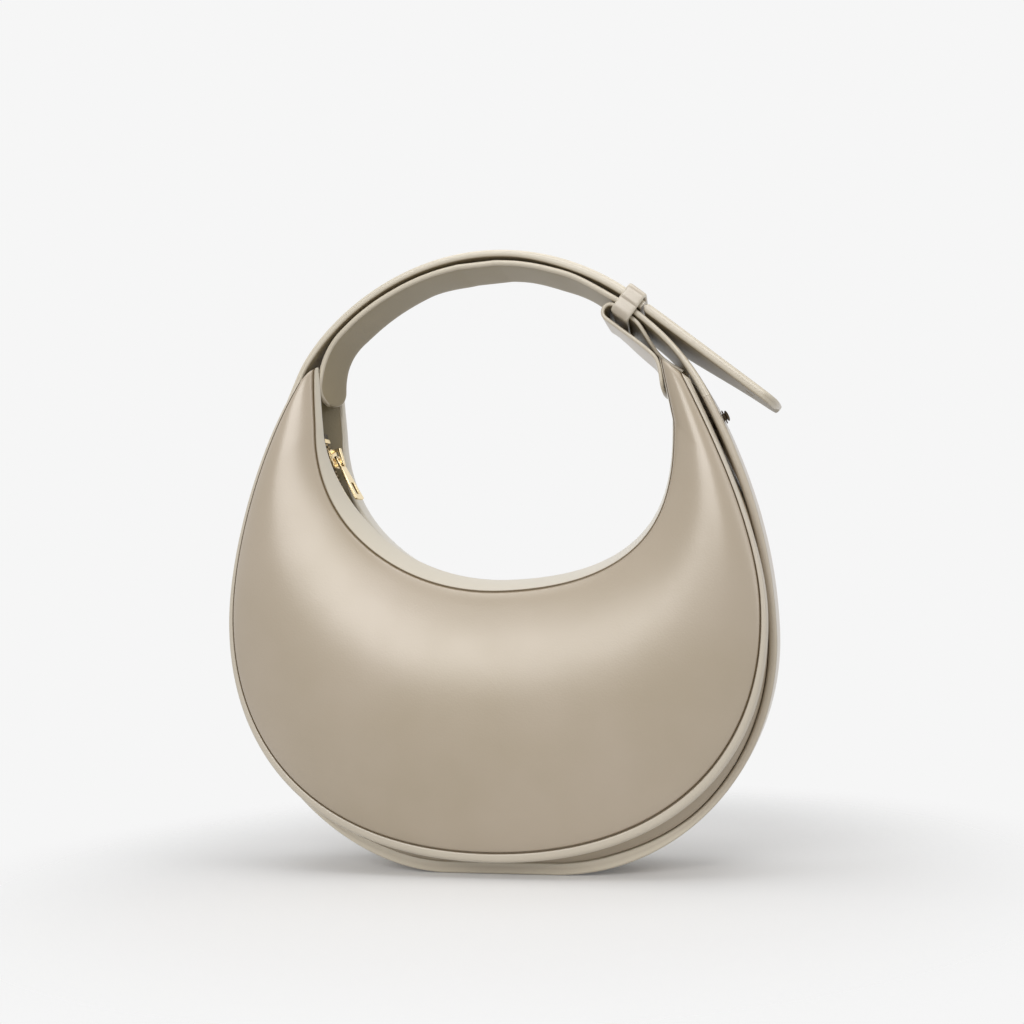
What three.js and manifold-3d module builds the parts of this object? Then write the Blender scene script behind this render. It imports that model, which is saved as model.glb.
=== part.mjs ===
// A crescent handbag with a ring handle, in millimetres and degrees.
// +X is the right side as seen from the front, -Y is the front and +Z is up. It stands on z = 0.
import * as THREE from "three";
import { mergeVertices } from "three/addons/utils/BufferGeometryUtils.js";
import Module from "manifold-3d";

const wasm = await Module();
wasm.setup();

// Clearance between pieces that touch on the real bag.
const GAP = 0.4;

// The belt: one strap round the whole rim, doubled over the handle. Its outer face is the ring's outline.
const BELT_WIDTH = 28;
const BAND_THICK = 3.8;
const BASE_THICK = 5.8;
const BASE_THINS = { from: 50, to: 95 };
const INNER_STRAP_THICK = 2.6;
const OUTER_STRAP_THICK = 4;
const TOP_STRAP_THICK = 3.2;
const TOP_STRAP_THICKENS = { from: 12, to: 46 };
const STRAP_LAYER_GAP = 0.8;
const TOP_LAYER_GAP = 1.3;
const BELT_CHAMFER = 0.6;
const BELT_HALF_WIDTH = 121.3;
const BELT_WIDEST_Z = 100;
const BASE_HALF_LENGTH = 24;
const HANDLE_TOP_Z = 268;
const SHOULDER = { x: 87.5, z: 221 };
const SHOULDER_SLOPE = { x: -19.5, z: 38 };
const SHOULDER_REACH = 22;
const SIDE_REACH_UP = 46;
const SIDE_REACH_DOWN = 58;
const BASE_REACH_RIGHT = 51;
const BASE_REACH_LEFT = 44;
const TOP_REACH = 43;
const BAND_RIGHT_END_Z = 197;
const BAND_LEFT_END_Z = 200;

// The inner strap's tongue on the left horn, and the flat under the top of the handle.
const TONGUE_END = { x: -80.2, z: 207.5 };
const TONGUE_WIDTH = 23.4;
const TONGUE_WIDENING = { from: 10, to: 45 };
const TONGUE_ROUND = 9;
const TONGUE_REACH = 14;
const TONGUE_JOIN_X = 70;
const TONGUE_JOIN_REACH = 11;
const HANDLE_FLAT_HALF = 9;
const INNER_STRAP_PLACES = [21, 34, 48];
const INNER_STRAP_LEFT_PLACES = [60, 48, 34, 21];
const AFTER_KEEPER_REACH = 16;
const BAND_JOIN_REACH = 20;
const STRAP_TAPER = 30;

// The belt leans over the top, more near the keeper, and on the right side: its rear edge moves in.
// So does the tongue's.
const TOP_LEAN = 4;
const TOP_LEAN_START_X = -32;
const HANDLE_LEAN = 7.2;
const HANDLE_LEAN_FULL_X = 40;
const KEEPER_LEAN = 12;
const KEEPER_LEAN_X = { from: 46, to: 70 };
const KEEPER_LEAN_Z = { from: 200, to: 222 };
const TAIL_LEAN = 2;
const TONGUE_LEAN = 8;
const TONGUE_LEAN_X = { from: -76, to: -66 };
const TONGUE_LEAN_Z = { from: 212, to: 230 };
const SIDE_LEAN = 4;
const SIDE_LEAN_START_X = 40;
const SIDE_LEAN_FULL_X = 105;
const LEAN_START_Z = 197;
const LEAN_FULL_Z = 230;
const RING_CENTRE = { x: 0, z: 190 };

// Keeper ring, loop tab and the loose tail.
const KEEPER_X = 69.9;
const KEEPER_LENGTH = 9;
const KEEPER_WALL = 1.7;
const KEEPER_CLEAR = 0.6;
const KEEPER_CORNER = 2.2;
const KEEPER_WINDOW_CORNER = 0.5;
const TAB_THICK = 1.8;
const TAB_WIDTH = 26;
const TAB_END_WIDTH = 15;
const TAB_FOLD_BACK = 4.7;
const TAB_SLACK = 2.6;
const TAB_END_ROUND = 6;
const TAB_WIDENING = { from: 10, to: 28 };
const TAB_STRAIGHT = 1.5;
const TAB_REACH = 5;

// The tab's two legs pinch together above the right horn's tip and then run down either side of it.
const TAB_PINCH = { x: 77.2, z: 216, apart: 1.2, slope: -51.5, reach: 5 };
const TAB_OUTER_END = { x: 87.8, z: 208.3, slope: -39.5, reach: 4 };
const TAB_INNER_END = { x: 79.5, z: 198.5, slope: -80, reach: 7 };
const TAIL_TIP = { x: 125.6, z: 190.6 };
const TAIL_ROUND = 7;
const TAIL_REACH = 18;
const TAIL_BEND = 0.6;
const TAIL_CUT = 1.2;
const TAIL_HOLE_FROM_TIP = 14;
const TAIL_HOLE_RADIUS = 2;

// Stud on the right side of the belt.
const STUD_Z = 188.6;
const STUD_FLANGE_RADIUS = 3;
const STUD_NECK_RADIUS = 1.5;
const STUD_HEAD_RADIUS = 2.4;
const STUD_FLANGE_THICK = 0.5;
const STUD_HEAD_THICK = 1.3;
const STUD_HEIGHT = 2.5;
const STUD_HOLE_RADIUS = 1.9;
const SCREW_THICK = 1;

// Outlines of the two crescent panels, seen from the front.
const EDGE_LEFT_X = -120.5;
const EDGE_RIGHT_X = 118.8;
const EDGE_WIDEST_Z = 108;
const EDGE_BOTTOM_Z = 6.8;
const EDGE_REACH_UP = 30;
const EDGE_SIDE_BEND_Z = 46;
const EDGE_BASE_BEND_X = 75;
const BACK_NARROWING = { share: 0.965, from: 0.05, to: 0.4 };
const EDGE_LEFT_BEND = { x: -106, z: 186 };
const EDGE_RIGHT_BEND = { x: 102, z: 178 };
const LEFT_HORN = { outer: { x: -85.2, z: 216.5 }, mouth: { x: -77.4, z: 223.5 } };
const RIGHT_HORN = { outer: { x: 91.2, z: 203.6 }, mouth: { x: 78.4, z: 214.2 } };
const MOUTH_LOW = { x: 8, z: 124.6, bendLeft: -42, bendRight: 58 };
const MOUTH_LEFT = { x: -76, z: 196, bendX: -76, bendZ: 161 };
const MOUTH_RIGHT = { x: 82.8, z: 188, bendX: 81, bendZ: 143 };

// Half depths of the bag in Y: at the outer seam, at the seam along the mouth, and at the mouth's rim.
const SEAM_DEPTH = 25;
const HORN_SEAM_DEPTH = 16.8;
const MOUTH_SEAM_DEPTH = 20.5;
const HORN_MOUTH_SEAM_DEPTH = 15.2;
const SEAM_FULLNESS = 0.45;
const RIM_DEPTH = 5;
const HORN_RIM_DEPTH = 12.2;
const RIM_NARROWS = { from: 0.25, to: 0.75 };
const LOWER_BULGE = 13.5;
const UPPER_BULGE = 13;

// Leather, bindings and lining.
const PANEL_THICK = 1.6;
const EDGE_BINDING = 4.2;
const EDGE_BINDING_DEPTH = 4.6;
const HORN_BINDING_DEPTH = 2.2;
const BINDING_SHARE = 0.28;
const BINDING_EASE = 0.6;
const BINDING_RISE = 0.3;
const MOUTH_STRIP_THICK = 1.6;
const MOUTH_STRIP_START = 2.2;
const MOUTH_STRIP_SLOPE = { front: 0.32, back: 0.1 };
const GUSSET_THICK = 1.6;
const GUSSET_HORN_DEPTH = 2.4;
const GUSSET_DEEPENS = { from: 145, to: 184 };
const GUSSET_PAST_BAND = { right: 4, left: 8 };
const GUSSET_MARGIN = { width: 2.5, rise: 0.8, from: 12, to: 45 };
const GUSSET_LINING_INSET = 1.5;
const GUSSET_LINING_SHORT = 45;
const LINING_THICK = 0.8;
const LINING_GAP = 0.8;
const LINING_EDGE = 9;
const LINING_MOUTH = 13;
const FACING_THICK = 1.2;
const FACING_Y = 5.2;
const FACING_BEHIND_RIM = 0.1;
const FACING_BELOW_STRIP = 1.4;
const FACING_DROP = 10;
const STIFFENER = { halfLength: 58, halfWidth: 15, thick: 2 };
const POCKET = { from: 0.42, to: 0.58, low: 0.2, high: 0.6 };

// The zip runs on a circle under the mouth. Angles are from straight down, positive to the right.
const ZIP_CENTRE = { x: 6.5, z: 204.5 };
const ZIP_RADIUS = 89;
const TAPE_FROM = -84;
const TAPE_TO = 70;
const CHAIN_FROM = -80.5;
const CHAIN_TO = 66;
const TAPE_THICK = 0.8;
const TAPE_INNER_Y = 1;
const CHAIN_INNER_Y = 0.6;
const CHAIN_OUTER_Y = 2.6;
const CHAIN_TALL = 1.5;
const STOP_LENGTH = 2;
const SLIDER_ANGLE = -75.5;
const SLIDER = {
  length: 9, width: 7.2, plate: 1.1, clear: 0.6, web: 0.6, flange: { thick: 0.7, tall: 1.5 },
  bridge: 2.2, bridgeWindow: 2.6, bridgeSpan: 5.6, post: 1.2, join: 0.1,
};
const PULL = {
  length: 22, neck: 5.4, end: 8.4, thick: 1.2, eye: 5.6, arm: 1.2, lift: 13, corner: 0.8,
  window: { from: 8.6, to: 2.6, half: 1.5 }, join: 0.9,
};

// Finishes.
const LEATHER = { color: 0xb8ad97, roughness: 0.42, metalness: 0.25 };
const LEATHER_EDGE = { color: 0xcfc5b2, roughness: 0.5, metalness: 0.15 };
const LEATHER_INSIDE = { color: 0x94886f, roughness: 0.6, metalness: 0.1 };
const LINING_CLOTH = { color: 0x8a7f6c, roughness: 0.9, metalness: 0 };
const ZIP_CLOTH = { color: 0x4a4236, roughness: 0.9, metalness: 0 };
const GOLD = { color: 0xd2b072, roughness: 0.28, metalness: 1 };
const BOARD = { color: 0x6b6253, roughness: 0.95, metalness: 0 };

const DEG = Math.PI / 180;
const ROUND_SIDES = 16;
const PLAIN_EXTRUDE = { bevelEnabled: false, curveSegments: 3 };
const handbag = new THREE.Group();

function addMesh(name, geometry, finish) {
  const mesh = new THREE.Mesh(geometry, new THREE.MeshStandardMaterial(finish));
  mesh.name = name;
  handbag.add(mesh);
  return mesh;
}

// 0 before `low`, 1 after `high`, smooth between.
const ramp = (value, low, high) => THREE.MathUtils.smoothstep(value, low, high);

// Turns faces outwards if the volume comes out negative.
function faceOutwards(geometry) {
  const place = geometry.getAttribute("position");
  const index = geometry.index.array;
  const [a, b, c] = [0, 1, 2].map(() => new THREE.Vector3());
  let volume = 0;
  for (let i = 0; i < index.length; i += 3) {
    a.fromBufferAttribute(place, index[i]);
    b.fromBufferAttribute(place, index[i + 1]);
    c.fromBufferAttribute(place, index[i + 2]);
    volume += a.dot(b.cross(c));
  }
  if (volume < 0) {
    for (let i = 0; i < index.length; i += 3) [index[i], index[i + 1]] = [index[i + 1], index[i]];
  }
  return geometry;
}

// A closed solid through sections. Each section has an outer row and an inner row of as many points.
function loft(sections) {
  const across = sections[0].outer.length;
  const ring = 2 * across;
  const points = sections.flatMap(({ outer, inner }) => [...outer, ...[...inner].reverse()]);
  const index = [];
  const quad = (a, b, c, d) => index.push(a, b, c, a, c, d);
  for (let i = 0; i + 1 < sections.length; i++) {
    for (let j = 0; j < ring; j++) {
      const next = (j + 1) % ring;
      quad(i * ring + j, i * ring + next, (i + 1) * ring + next, (i + 1) * ring + j);
    }
  }
  const last = (sections.length - 1) * ring;
  for (let j = 0; j + 1 < across; j++) {
    const [a, b, c, d] = [j, j + 1, ring - 2 - j, ring - 1 - j];
    quad(d, c, b, a);
    quad(last + a, last + b, last + c, last + d);
  }
  const geometry = new THREE.BufferGeometry().setFromPoints(points);
  geometry.setIndex(index);
  return faceOutwards(geometry);
}

// Joins and cuts.
function solidOf(geometry) {
  const bare = geometry.clone();
  bare.deleteAttribute("normal");
  bare.deleteAttribute("uv");
  const merged = mergeVertices(bare, 1e-4);
  const vertProperties = new Float32Array(merged.getAttribute("position").array);
  const triVerts = new Uint32Array(merged.index.array);
  return new wasm.Manifold(new wasm.Mesh({ numProp: 3, vertProperties, triVerts }));
}

function geometryOf(solid) {
  const mesh = solid.getMesh();
  const geometry = new THREE.BufferGeometry();
  geometry.setAttribute("position", new THREE.BufferAttribute(new Float32Array(mesh.vertProperties), 3));
  geometry.setIndex(new THREE.BufferAttribute(new Uint32Array(mesh.triVerts), 1));
  return geometry;
}

const join = (...pieces) => geometryOf(pieces.map(solidOf).reduce((all, piece) => all.add(piece)));
const cut = (body, tool) => geometryOf(solidOf(body).subtract(solidOf(tool)));

// Outlines are paths in the XZ plane, walked so that the outside is on the left hand.
function walk(path, along) {
  const length = path.getLength();
  const share = THREE.MathUtils.clamp(along / length, 0, 1);
  const point = path.getPoint(share);
  const step = 0.2 / length;
  const before = path.getPoint(Math.max(0, share - step));
  const after = path.getPoint(Math.min(1, share + step));
  const forward = after.sub(before).normalize();
  return { point, forward, outward: new THREE.Vector2(-forward.y, forward.x) };
}

// How far along a path a test first comes true, searching from `start`.
function distanceTo(path, test, start = 0) {
  const length = path.getLength();
  const step = 0.25;
  let along = start;
  while (along < length && !test(path.getPoint(along / length))) along += step;
  return along;
}

const evenSteps = (from, to, count) =>
  Array.from({ length: count + 1 }, (_, i) => THREE.MathUtils.lerp(from, to, i / count));

// Distances along a strap with steps that close up in a rounded end of the given length at either side.
function strapSteps(from, to, count, roundStart = 0, roundEnd = 0) {
  const turns = [8, 26, 44, 62, 80].map((angle) => 1 - Math.cos(angle * DEG));
  const head = roundStart ? turns.map((turn) => from + roundStart * turn) : [];
  const tail = roundEnd ? turns.map((turn) => to - roundEnd * turn).reverse() : [];
  return [...head, ...evenSteps(from + roundStart, to - roundEnd, count), ...tail];
}

// Share of the full width at a distance from a rounded end.
const roundShare = (fromEnd, round) => Math.sqrt(Math.max(0.01, 1 - Math.max(0, 1 - fromEnd / round) ** 2));

// A strap on edge. `line` is its outer face, or its middle when `centred` is set, and width runs across Y.
function strap({ line, steps, thick, width, centred = false }) {
  return loft(
    steps.map((along) => {
      const { point, outward } = walk(line, along);
      const half = width(along) / 2;
      const deep = typeof thick === "function" ? thick(along) : thick;
      const top = centred ? deep / 2 : 0;
      const chamfer = Math.min(BELT_CHAMFER, deep / 3, half / 3);
      const at = (y, depth) =>
        new THREE.Vector3(point.x - outward.x * depth, y, point.y - outward.y * depth);
      const row = (edge, face) => [
        at(-half, edge),
        at(-half + chamfer, face),
        at(half - chamfer, face),
        at(half, edge),
      ];
      return {
        outer: row(chamfer - top, -top),
        inner: row(deep - chamfer - top, deep - top),
      };
    }),
  );
}

// Leans a strap's points: the further back, the closer to the ring's centre.
function leanBy(geometry, leanAt, towards) {
  const place = geometry.getAttribute("position");
  const point = new THREE.Vector3();
  for (let i = 0; i < place.count; i++) {
    point.fromBufferAttribute(place, i);
    const drop = (point.y + BELT_WIDTH / 2) * Math.tan(leanAt(point) * DEG);
    const way = towards(point);
    place.setXYZ(i, point.x - way.x * drop, point.y, point.z - way.y * drop);
  }
  return geometry;
}

const fromRingCentre = (point) =>
  new THREE.Vector2(point.x - RING_CENTRE.x, Math.max(0, point.z - RING_CENTRE.z)).normalize();

function beltLean(point) {
  const side = SIDE_LEAN * ramp(point.x, SIDE_LEAN_START_X, SIDE_LEAN_FULL_X);
  const top = TOP_LEAN * ramp(point.x, TOP_LEAN_START_X, -HANDLE_FLAT_HALF);
  const rest = (HANDLE_LEAN - TOP_LEAN) * ramp(point.x, HANDLE_FLAT_HALF, HANDLE_LEAN_FULL_X);
  const atKeeper =
    (KEEPER_LEAN - HANDLE_LEAN) *
    ramp(point.x, KEEPER_LEAN_X.from, KEEPER_LEAN_X.to) *
    ramp(point.z, KEEPER_LEAN_Z.from, KEEPER_LEAN_Z.to);
  return THREE.MathUtils.lerp(side, top + rest, ramp(point.z, LEAN_START_Z, LEAN_FULL_Z)) + atKeeper;
}

const tongueLean = (point) =>
  TONGUE_LEAN *
  (1 - ramp(point.x, TONGUE_LEAN_X.from, TONGUE_LEAN_X.to)) *
  (1 - ramp(point.z, TONGUE_LEAN_Z.from, TONGUE_LEAN_Z.to));

const leanBelt = (geometry) => leanBy(geometry, beltLean, fromRingCentre);
const leanInner = (geometry) =>
  leanBy(geometry, (point) => beltLean(point) + tongueLean(point), fromRingCentre);

// The ring's outline: from the right shoulder down, along the base, up the left side and over the top.
const shoulderReach = SHOULDER_REACH / Math.hypot(SHOULDER_SLOPE.x, SHOULDER_SLOPE.z);
const aboveShoulder = {
  x: SHOULDER.x + SHOULDER_SLOPE.x * shoulderReach,
  z: SHOULDER.z + SHOULDER_SLOPE.z * shoulderReach,
};
const belowShoulder = { x: SHOULDER.x - SHOULDER_SLOPE.x, z: SHOULDER.z - SHOULDER_SLOPE.z };
const ringLine = new THREE.Path();
ringLine.moveTo(SHOULDER.x, SHOULDER.z);
ringLine.bezierCurveTo(
  belowShoulder.x, belowShoulder.z,
  BELT_HALF_WIDTH, BELT_WIDEST_Z + SIDE_REACH_UP,
  BELT_HALF_WIDTH, BELT_WIDEST_Z,
);
ringLine.bezierCurveTo(
  BELT_HALF_WIDTH, BELT_WIDEST_Z - SIDE_REACH_DOWN,
  BASE_HALF_LENGTH + BASE_REACH_RIGHT, 0,
  BASE_HALF_LENGTH, 0,
);
ringLine.lineTo(-BASE_HALF_LENGTH, 0);
ringLine.bezierCurveTo(
  -BASE_HALF_LENGTH - BASE_REACH_LEFT, 0,
  -BELT_HALF_WIDTH, BELT_WIDEST_Z - SIDE_REACH_DOWN,
  -BELT_HALF_WIDTH, BELT_WIDEST_Z,
);
ringLine.bezierCurveTo(
  -BELT_HALF_WIDTH, BELT_WIDEST_Z + SIDE_REACH_UP,
  -belowShoulder.x, belowShoulder.z,
  -SHOULDER.x, SHOULDER.z,
);
ringLine.bezierCurveTo(-aboveShoulder.x, aboveShoulder.z, -TOP_REACH, HANDLE_TOP_Z, 0, HANDLE_TOP_Z);
ringLine.bezierCurveTo(TOP_REACH, HANDLE_TOP_Z, aboveShoulder.x, aboveShoulder.z, SHOULDER.x, SHOULDER.z);

const bandStart = distanceTo(ringLine, (p) => p.y < BAND_RIGHT_END_Z);
const bandMiddle = distanceTo(ringLine, (p) => p.x < 0);
const bandEnd = distanceTo(ringLine, (p) => p.y > BAND_LEFT_END_Z, bandMiddle);
const keeperAlong = distanceTo(ringLine, (p) => p.x > KEEPER_X, bandEnd);
const keeperFrame = walk(ringLine, keeperAlong);

// A place near the keeper: `along` the belt past its middle, and `out` from the belt's outer face.
const byKeeper = (along, out) =>
  keeperFrame.point
    .clone()
    .addScaledVector(keeperFrame.forward, along)
    .addScaledVector(keeperFrame.outward, out);

// Depths below the ring's outline of what the keeper holds.
const innerStrapTop = OUTER_STRAP_THICK + STRAP_LAYER_GAP;
const innerStrapBottom = innerStrapTop + INNER_STRAP_THICK;
const tabUpperMiddle = innerStrapBottom + KEEPER_CLEAR + TAB_THICK / 2;
const keeperFloor = tabUpperMiddle + TAB_THICK / 2 + KEEPER_CLEAR;
const tabLowerMiddle = keeperFloor + KEEPER_WALL + TAB_SLACK + TAB_THICK / 2;

const fullBelt = () => BELT_WIDTH;

// The belt is thicker where it carries the bag along the base.
const bandThickAt = (x) =>
  THREE.MathUtils.lerp(BASE_THICK, BAND_THICK, ramp(Math.abs(x), BASE_THINS.from, BASE_THINS.to));

// The outer strap is thin up to the top of the handle and grows thicker towards the keeper,
// while the gap below it closes.
const nearKeeper = (x) => ramp(x, TOP_STRAP_THICKENS.from, TOP_STRAP_THICKENS.to);
const outerThickAt = (x) => THREE.MathUtils.lerp(TOP_STRAP_THICK, OUTER_STRAP_THICK, nearKeeper(x));
const layerGapAt = (x) => THREE.MathUtils.lerp(TOP_LAYER_GAP, STRAP_LAYER_GAP, nearKeeper(x));

// Puts a turned shape on the axis of the stud, square to the band.
const studPlace = walk(ringLine, distanceTo(ringLine, (p) => p.y < STUD_Z));
function alongStud(geometry, out) {
  const axis = new THREE.Vector3(studPlace.outward.x, 0, studPlace.outward.y);
  geometry.applyQuaternion(new THREE.Quaternion().setFromUnitVectors(new THREE.Vector3(0, 1, 0), axis));
  const { x, y } = studPlace.point;
  return geometry.translate(x + axis.x * out, 0, y + axis.z * out);
}

function addBelt() {
  const band = strap({
    line: ringLine,
    steps: strapSteps(bandStart, bandEnd, 46),
    thick: (along) => bandThickAt(walk(ringLine, along).point.x),
    width: fullBelt,
  });
  const hole = new THREE.CylinderGeometry(STUD_HOLE_RADIUS, STUD_HOLE_RADIUS, 4 * BAND_THICK, ROUND_SIDES);
  addMesh("perimeter_band", leanBelt(cut(band, alongStud(hole, 0))), LEATHER);

  const outerStart = bandEnd + GAP;
  const outerEnd = keeperAlong + KEEPER_LENGTH / 2 + TAIL_CUT;
  const outer = strap({
    line: ringLine,
    steps: strapSteps(outerStart, outerEnd, 30),
    thick: (along) => {
      const full = outerThickAt(walk(ringLine, along).point.x);
      return THREE.MathUtils.lerp(BAND_THICK, full, ramp(along - outerStart, 0, STRAP_TAPER));
    },
    width: fullBelt,
  });
  addMesh("outer_strap", leanBelt(outer), LEATHER);

  // Where the inner strap's outer face lies under the outline, at a given x of the outline.
  const under = (x) => {
    const { point, outward, forward } = walk(ringLine, distanceTo(ringLine, (p) => p.x > x, bandEnd));
    return { point: point.addScaledVector(outward, -outerThickAt(x) - layerGapAt(x)), forward };
  };
  const underPoint = (x) => under(x).point;
  const leftJoin = under(-TONGUE_JOIN_X);
  const leftLead = leftJoin.point.clone().addScaledVector(leftJoin.forward, -TONGUE_JOIN_REACH);
  const flat = under(HANDLE_FLAT_HALF).point;
  const atKeeper = byKeeper(0, -innerStrapTop);
  const afterKeeper = byKeeper(AFTER_KEEPER_REACH, -innerStrapTop);
  const bandJoin = walk(ringLine, bandStart - GAP);
  const bandLead = bandJoin.point.clone().addScaledVector(bandJoin.forward, -BAND_JOIN_REACH);
  const innerLine = new THREE.Path();
  innerLine.moveTo(TONGUE_END.x, TONGUE_END.z);
  innerLine.bezierCurveTo(
    TONGUE_END.x, TONGUE_END.z + TONGUE_REACH,
    leftLead.x, leftLead.y,
    leftJoin.point.x, leftJoin.point.y,
  );
  const leftPlaces = INNER_STRAP_LEFT_PLACES.map((x) => -x);
  innerLine.splineThru([...leftPlaces.map(underPoint), new THREE.Vector2(-flat.x, flat.y)]);
  innerLine.lineTo(flat.x, flat.y);
  innerLine.splineThru([...INNER_STRAP_PLACES.map(underPoint), atKeeper]);
  innerLine.bezierCurveTo(
    afterKeeper.x, afterKeeper.y,
    bandLead.x, bandLead.y,
    bandJoin.point.x, bandJoin.point.y,
  );
  const length = innerLine.getLength();
  const flatFrom = distanceTo(innerLine, (p) => p.x >= -flat.x);
  const flatTo = flatFrom + 2 * flat.x;
  const steps = [
    ...strapSteps(0, flatFrom, 12, TONGUE_ROUND),
    ...evenSteps(flatTo, length, 20),
  ];
  const inner = strap({
    line: innerLine,
    steps,
    thick: (along) =>
      THREE.MathUtils.lerp(BAND_THICK, INNER_STRAP_THICK, ramp(length - along, 0, STRAP_TAPER)),
    width: (along) => {
      const widened = ramp(along, TONGUE_WIDENING.from, TONGUE_WIDENING.to);
      return THREE.MathUtils.lerp(TONGUE_WIDTH, BELT_WIDTH, widened) * roundShare(along, TONGUE_ROUND);
    },
  });
  addMesh("inner_strap", leanInner(inner), LEATHER);
}

function addTail() {
  const radius = OUTER_STRAP_THICK / 2;
  const pivotAlong = KEEPER_LENGTH / 2 + TAIL_CUT + radius + GAP;
  const pivot = byKeeper(pivotAlong, -radius);
  const root = byKeeper(pivotAlong - radius, -radius);
  const lead = byKeeper(pivotAlong + TAIL_REACH, -radius);
  const bend = pivot.clone().lerp(new THREE.Vector2(TAIL_TIP.x, TAIL_TIP.z), TAIL_BEND);
  const middle = new THREE.Path();
  middle.moveTo(root.x, root.y);
  middle.lineTo(pivot.x, pivot.y);
  middle.bezierCurveTo(
    lead.x, lead.y,
    bend.x, bend.y,
    TAIL_TIP.x, TAIL_TIP.z,
  );
  const length = middle.getLength();
  const tail = strap({
    line: middle,
    steps: strapSteps(0, length, 12, radius, TAIL_ROUND),
    thick: (along) => OUTER_STRAP_THICK * roundShare(along, radius),
    width: (along) => BELT_WIDTH * roundShare(length - along, TAIL_ROUND),
    centred: true,
  });
  const fromPivot = (point) => Math.hypot(point.x - pivot.x, point.z - pivot.y);
  const tailLean = (point) =>
    THREE.MathUtils.lerp(KEEPER_LEAN, TAIL_LEAN, ramp(fromPivot(point), OUTER_STRAP_THICK, length));
  leanBy(tail, tailLean, () => keeperFrame.outward);
  const hole = walk(middle, length - TAIL_HOLE_FROM_TIP);
  const holeTool = new THREE.CylinderGeometry(TAIL_HOLE_RADIUS, TAIL_HOLE_RADIUS, BELT_WIDTH, ROUND_SIDES);
  const axis = new THREE.Vector3(hole.outward.x, 0, hole.outward.y);
  holeTool.applyQuaternion(new THREE.Quaternion().setFromUnitVectors(new THREE.Vector3(0, 1, 0), axis));
  holeTool.translate(hole.point.x, 0, hole.point.y);
  addMesh("strap_tail", cut(tail, holeTool), LEATHER);
}

function addKeeper() {
  const halfWindow = BELT_WIDTH / 2 + KEEPER_CLEAR;
  const roundedBox = (path, low, high, half, round) => {
    path.moveTo(low + round, -half);
    path.lineTo(high - round, -half);
    path.quadraticCurveTo(high, -half, high, -half + round);
    path.lineTo(high, half - round);
    path.quadraticCurveTo(high, half, high - round, half);
    path.lineTo(low + round, half);
    path.quadraticCurveTo(low, half, low, half - round);
    path.lineTo(low, -half + round);
    path.quadraticCurveTo(low, -half, low + round, -half);
    return path;
  };
  const outline = roundedBox(
    new THREE.Shape(),
    -keeperFloor - KEEPER_WALL, KEEPER_CLEAR + KEEPER_WALL, halfWindow + KEEPER_WALL, KEEPER_CORNER,
  );
  const hole = roundedBox(new THREE.Path(), -keeperFloor, KEEPER_CLEAR, halfWindow, KEEPER_WINDOW_CORNER);
  outline.holes.push(hole);
  const ring = new THREE.ExtrudeGeometry(outline, { ...PLAIN_EXTRUDE, depth: KEEPER_LENGTH });
  ring.translate(0, 0, -KEEPER_LENGTH / 2);
  const { point, forward, outward } = keeperFrame;
  const frame = new THREE.Matrix4().makeBasis(
    new THREE.Vector3(outward.x, 0, outward.y),
    new THREE.Vector3(0, 1, 0),
    new THREE.Vector3(-forward.x, 0, -forward.y),
  );
  const turned = ring.applyMatrix4(frame).translate(point.x, 0, point.y);
  addMesh("strap_keeper", leanBelt(geometryOf(solidOf(turned))), LEATHER_EDGE);
}

function addLoopTab() {
  const upperIn = byKeeper(KEEPER_LENGTH / 2 + TAB_STRAIGHT, -tabUpperMiddle);
  const upperLead = byKeeper(KEEPER_LENGTH / 2 + TAB_REACH, -tabUpperMiddle);
  const upperOut = byKeeper(-TAB_FOLD_BACK, -tabUpperMiddle);
  const lowerOut = byKeeper(0, -tabLowerMiddle);
  const lowerLead = byKeeper(TAB_REACH, -tabLowerMiddle);
  const fold = byKeeper(-TAB_FOLD_BACK, -(tabUpperMiddle + tabLowerMiddle) / 2);
  const foldRadius = (tabLowerMiddle - tabUpperMiddle) / 2;
  const foldStart = keeperFrame.outward.angle();
  const heading = (slope) => new THREE.Vector2(Math.cos(slope * DEG), Math.sin(slope * DEG));
  // The control point before a place that the line passes with its own slope and reach.
  const before = (place) => heading(place.slope).multiplyScalar(-place.reach).add({ x: place.x, y: place.z });
  const pinchAhead = heading(TAB_PINCH.slope);
  const pinchSide = new THREE.Vector2(-pinchAhead.y, pinchAhead.x).multiplyScalar(TAB_PINCH.apart);
  const pinch = (side, ahead) =>
    new THREE.Vector2(TAB_PINCH.x, TAB_PINCH.z)
      .addScaledVector(pinchSide, side)
      .addScaledVector(pinchAhead, ahead * TAB_PINCH.reach);
  const outerLead = before(TAB_OUTER_END);
  const innerLead = before(TAB_INNER_END);
  const curve = (first, second, end) =>
    line.bezierCurveTo(first.x, first.y, second.x, second.y, end.x, end.y);
  const line = new THREE.Path();
  line.moveTo(TAB_OUTER_END.x, TAB_OUTER_END.z);
  curve(outerLead, pinch(1, 1), pinch(1, 0));
  curve(pinch(1, -1), upperLead, upperIn);
  line.lineTo(upperOut.x, upperOut.y);
  line.absarc(fold.x, fold.y, foldRadius, foldStart, foldStart + Math.PI, false);
  line.lineTo(lowerOut.x, lowerOut.y);
  curve(lowerLead, pinch(-1, -1), pinch(-1, 0));
  curve(pinch(-1, 1), innerLead, new THREE.Vector2(TAB_INNER_END.x, TAB_INNER_END.z));
  const length = line.getLength();
  const tab = strap({
    line,
    steps: strapSteps(0, length, 44, 0, TAB_END_ROUND),
    thick: TAB_THICK,
    width: (along) => {
      const widened = ramp(along, TAB_WIDENING.from, TAB_WIDENING.to);
      const full = THREE.MathUtils.lerp(TAB_END_WIDTH, TAB_WIDTH, widened);
      return full * roundShare(length - along, TAB_END_ROUND);
    },
    centred: true,
  });
  addMesh("loop_tab", leanBelt(tab), LEATHER);
}

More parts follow.
